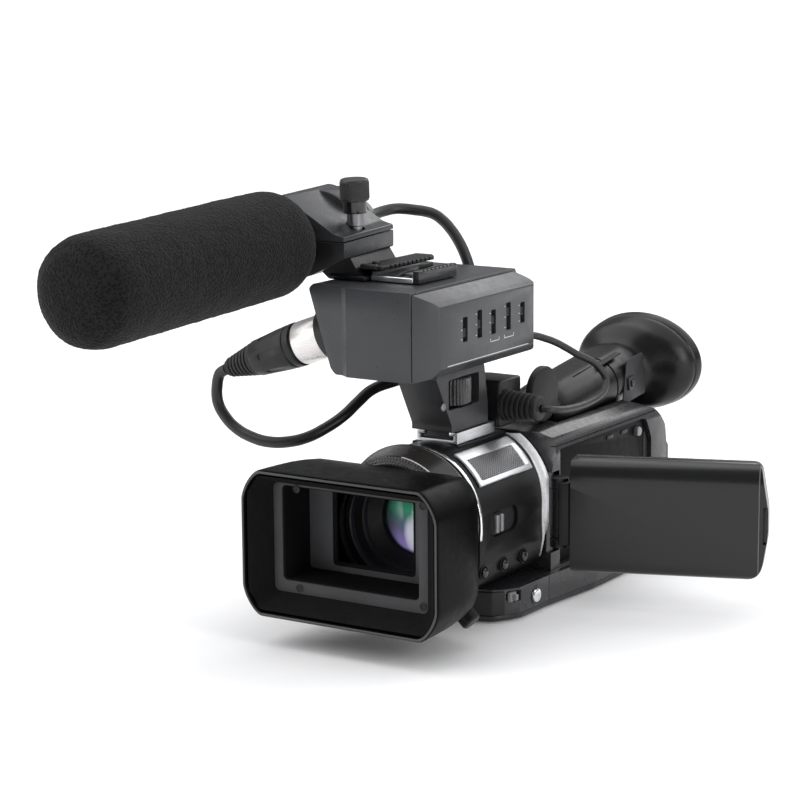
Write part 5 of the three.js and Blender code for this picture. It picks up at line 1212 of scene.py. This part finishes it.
# windscreen: foam sleeve with a worn, pitted surface
R = 22.8
pr = [(0.0, -92.0)] + [(R * 0.80 * sin(t), -92 + 5.2 * (1 - cos(t))) for t in np.linspace(0.08, pi / 2 * 0.86, 12)]
pr += [(R * 0.90, -86.2), (R * 0.955, -83.2), (R * 0.985, -79.8), (R, -76)] + [(R, a) for a in np.linspace(-74, 33, 70)]
pr += [(R * 0.994, 36), (R * 0.975, 39), (R * 0.94, 41.6), (R * 0.89, 43.8), (R * 0.82, 45.4), (R * 0.72, 46.5), (R * 0.6, 46.9), (11.4, 47.0), (10.75, 46.6), (10.75, 30), (10.75, -60.6), (0.001, -60.6)]
pr[0] = (0.001, -92.0)
wn = lathe("y", c0, pr, 220, False)
from mathutils import noise as mn
wn.data.update()
for v, n in zip(wn.data.vertices, [v.normal.copy() for v in wn.data.vertices]):
    if math.hypot(v.co.x - c0[0], v.co.z - c0[1]) > 11.2 or v.co.y < -62:
        p = v.co
        d = 0.16 * mn.noise(p * 1.1) + 0.12 * mn.noise(p * 2.3) + 0.25 * mn.noise(p * 0.12)
        v.co = p + n * (d - 0.22)
ws = fin(wn, "windscreen_foam_sleeve", "foam", "camera", "windscreen", TIP, ang=80)

# cap of the accessory socket beside the viewfinder
cp = lathe("x", (139, 45), [(0.001, 14.6), (11.9, 14.6), (12.3, 15.0), (12.4, 15.6), (12.4, 17.4), (12.0, 18.1), (11.2, 18.45), (0.001, 18.6)], 96, False)
fin(cp, "accessory_cap", "rubber", "camera", "jack_cap")

# ------------------------------------------------------------- floor, lights
bpy.ops.mesh.primitive_plane_add(size=60, location=(0, 0, -0.0005))
floor = bpy.context.object
floor.name = "floor"
fm = plastic("pale_floor", (0.94, 0.94, 0.945), 0.7, 0.02, 60, var=0.01)
floor.data.materials.append(fm)


def area(name, loc, target, size, power, color=(1, 1, 1), size_y=None):
    l = bpy.data.lights.new(name, "AREA")
    l.energy, l.size, l.color = power, size, color
    if size_y:
        l.shape, l.size_y = "RECTANGLE", size_y
    o = bpy.data.objects.new(name, l)
    o.location = loc
    o.rotation_euler = (Vector(target) - Vector(loc)).to_track_quat("-Z", "Y").to_euler()
    COL.objects.link(o)


def sun(name, frm, strength, angle):
    l = bpy.data.lights.new(name, "SUN")
    l.energy, l.angle = strength, radians(angle)
    o = bpy.data.objects.new(name, l)
    o.location = Vector(frm)
    o.rotation_euler = (-Vector(frm)).to_track_quat("-Z", "Y").to_euler()
    COL.objects.link(o)


sun("key_softbox", (-0.9, -0.55, 1.5), 1.95, 70)
sun("top_softbox", (0.5, 0.7, 1.6), 1.75, 95)
area("right", (1.25, -0.30, 0.50), (0, 0, 0.08), 0.35, 5, size_y=0.8)
area("front_left", (-1.1, -1.0, 0.45), (0, 0, 0.1), 0.4, 3, size_y=0.7)
area("back_strip", (0.15, 1.7, 1.15), (0.03, 0, 0.1), 1.5, 5.0, size_y=0.55)
w = bpy.data.worlds.new("studio")
w.use_nodes = True
w.node_tree.nodes["Background"].inputs[0].default_value = (0.96, 0.97, 1.0, 1)
w.node_tree.nodes["Background"].inputs[1].default_value = 0.30
bpy.context.scene.world = w
bpy.context.scene.view_settings.view_transform = "Standard"
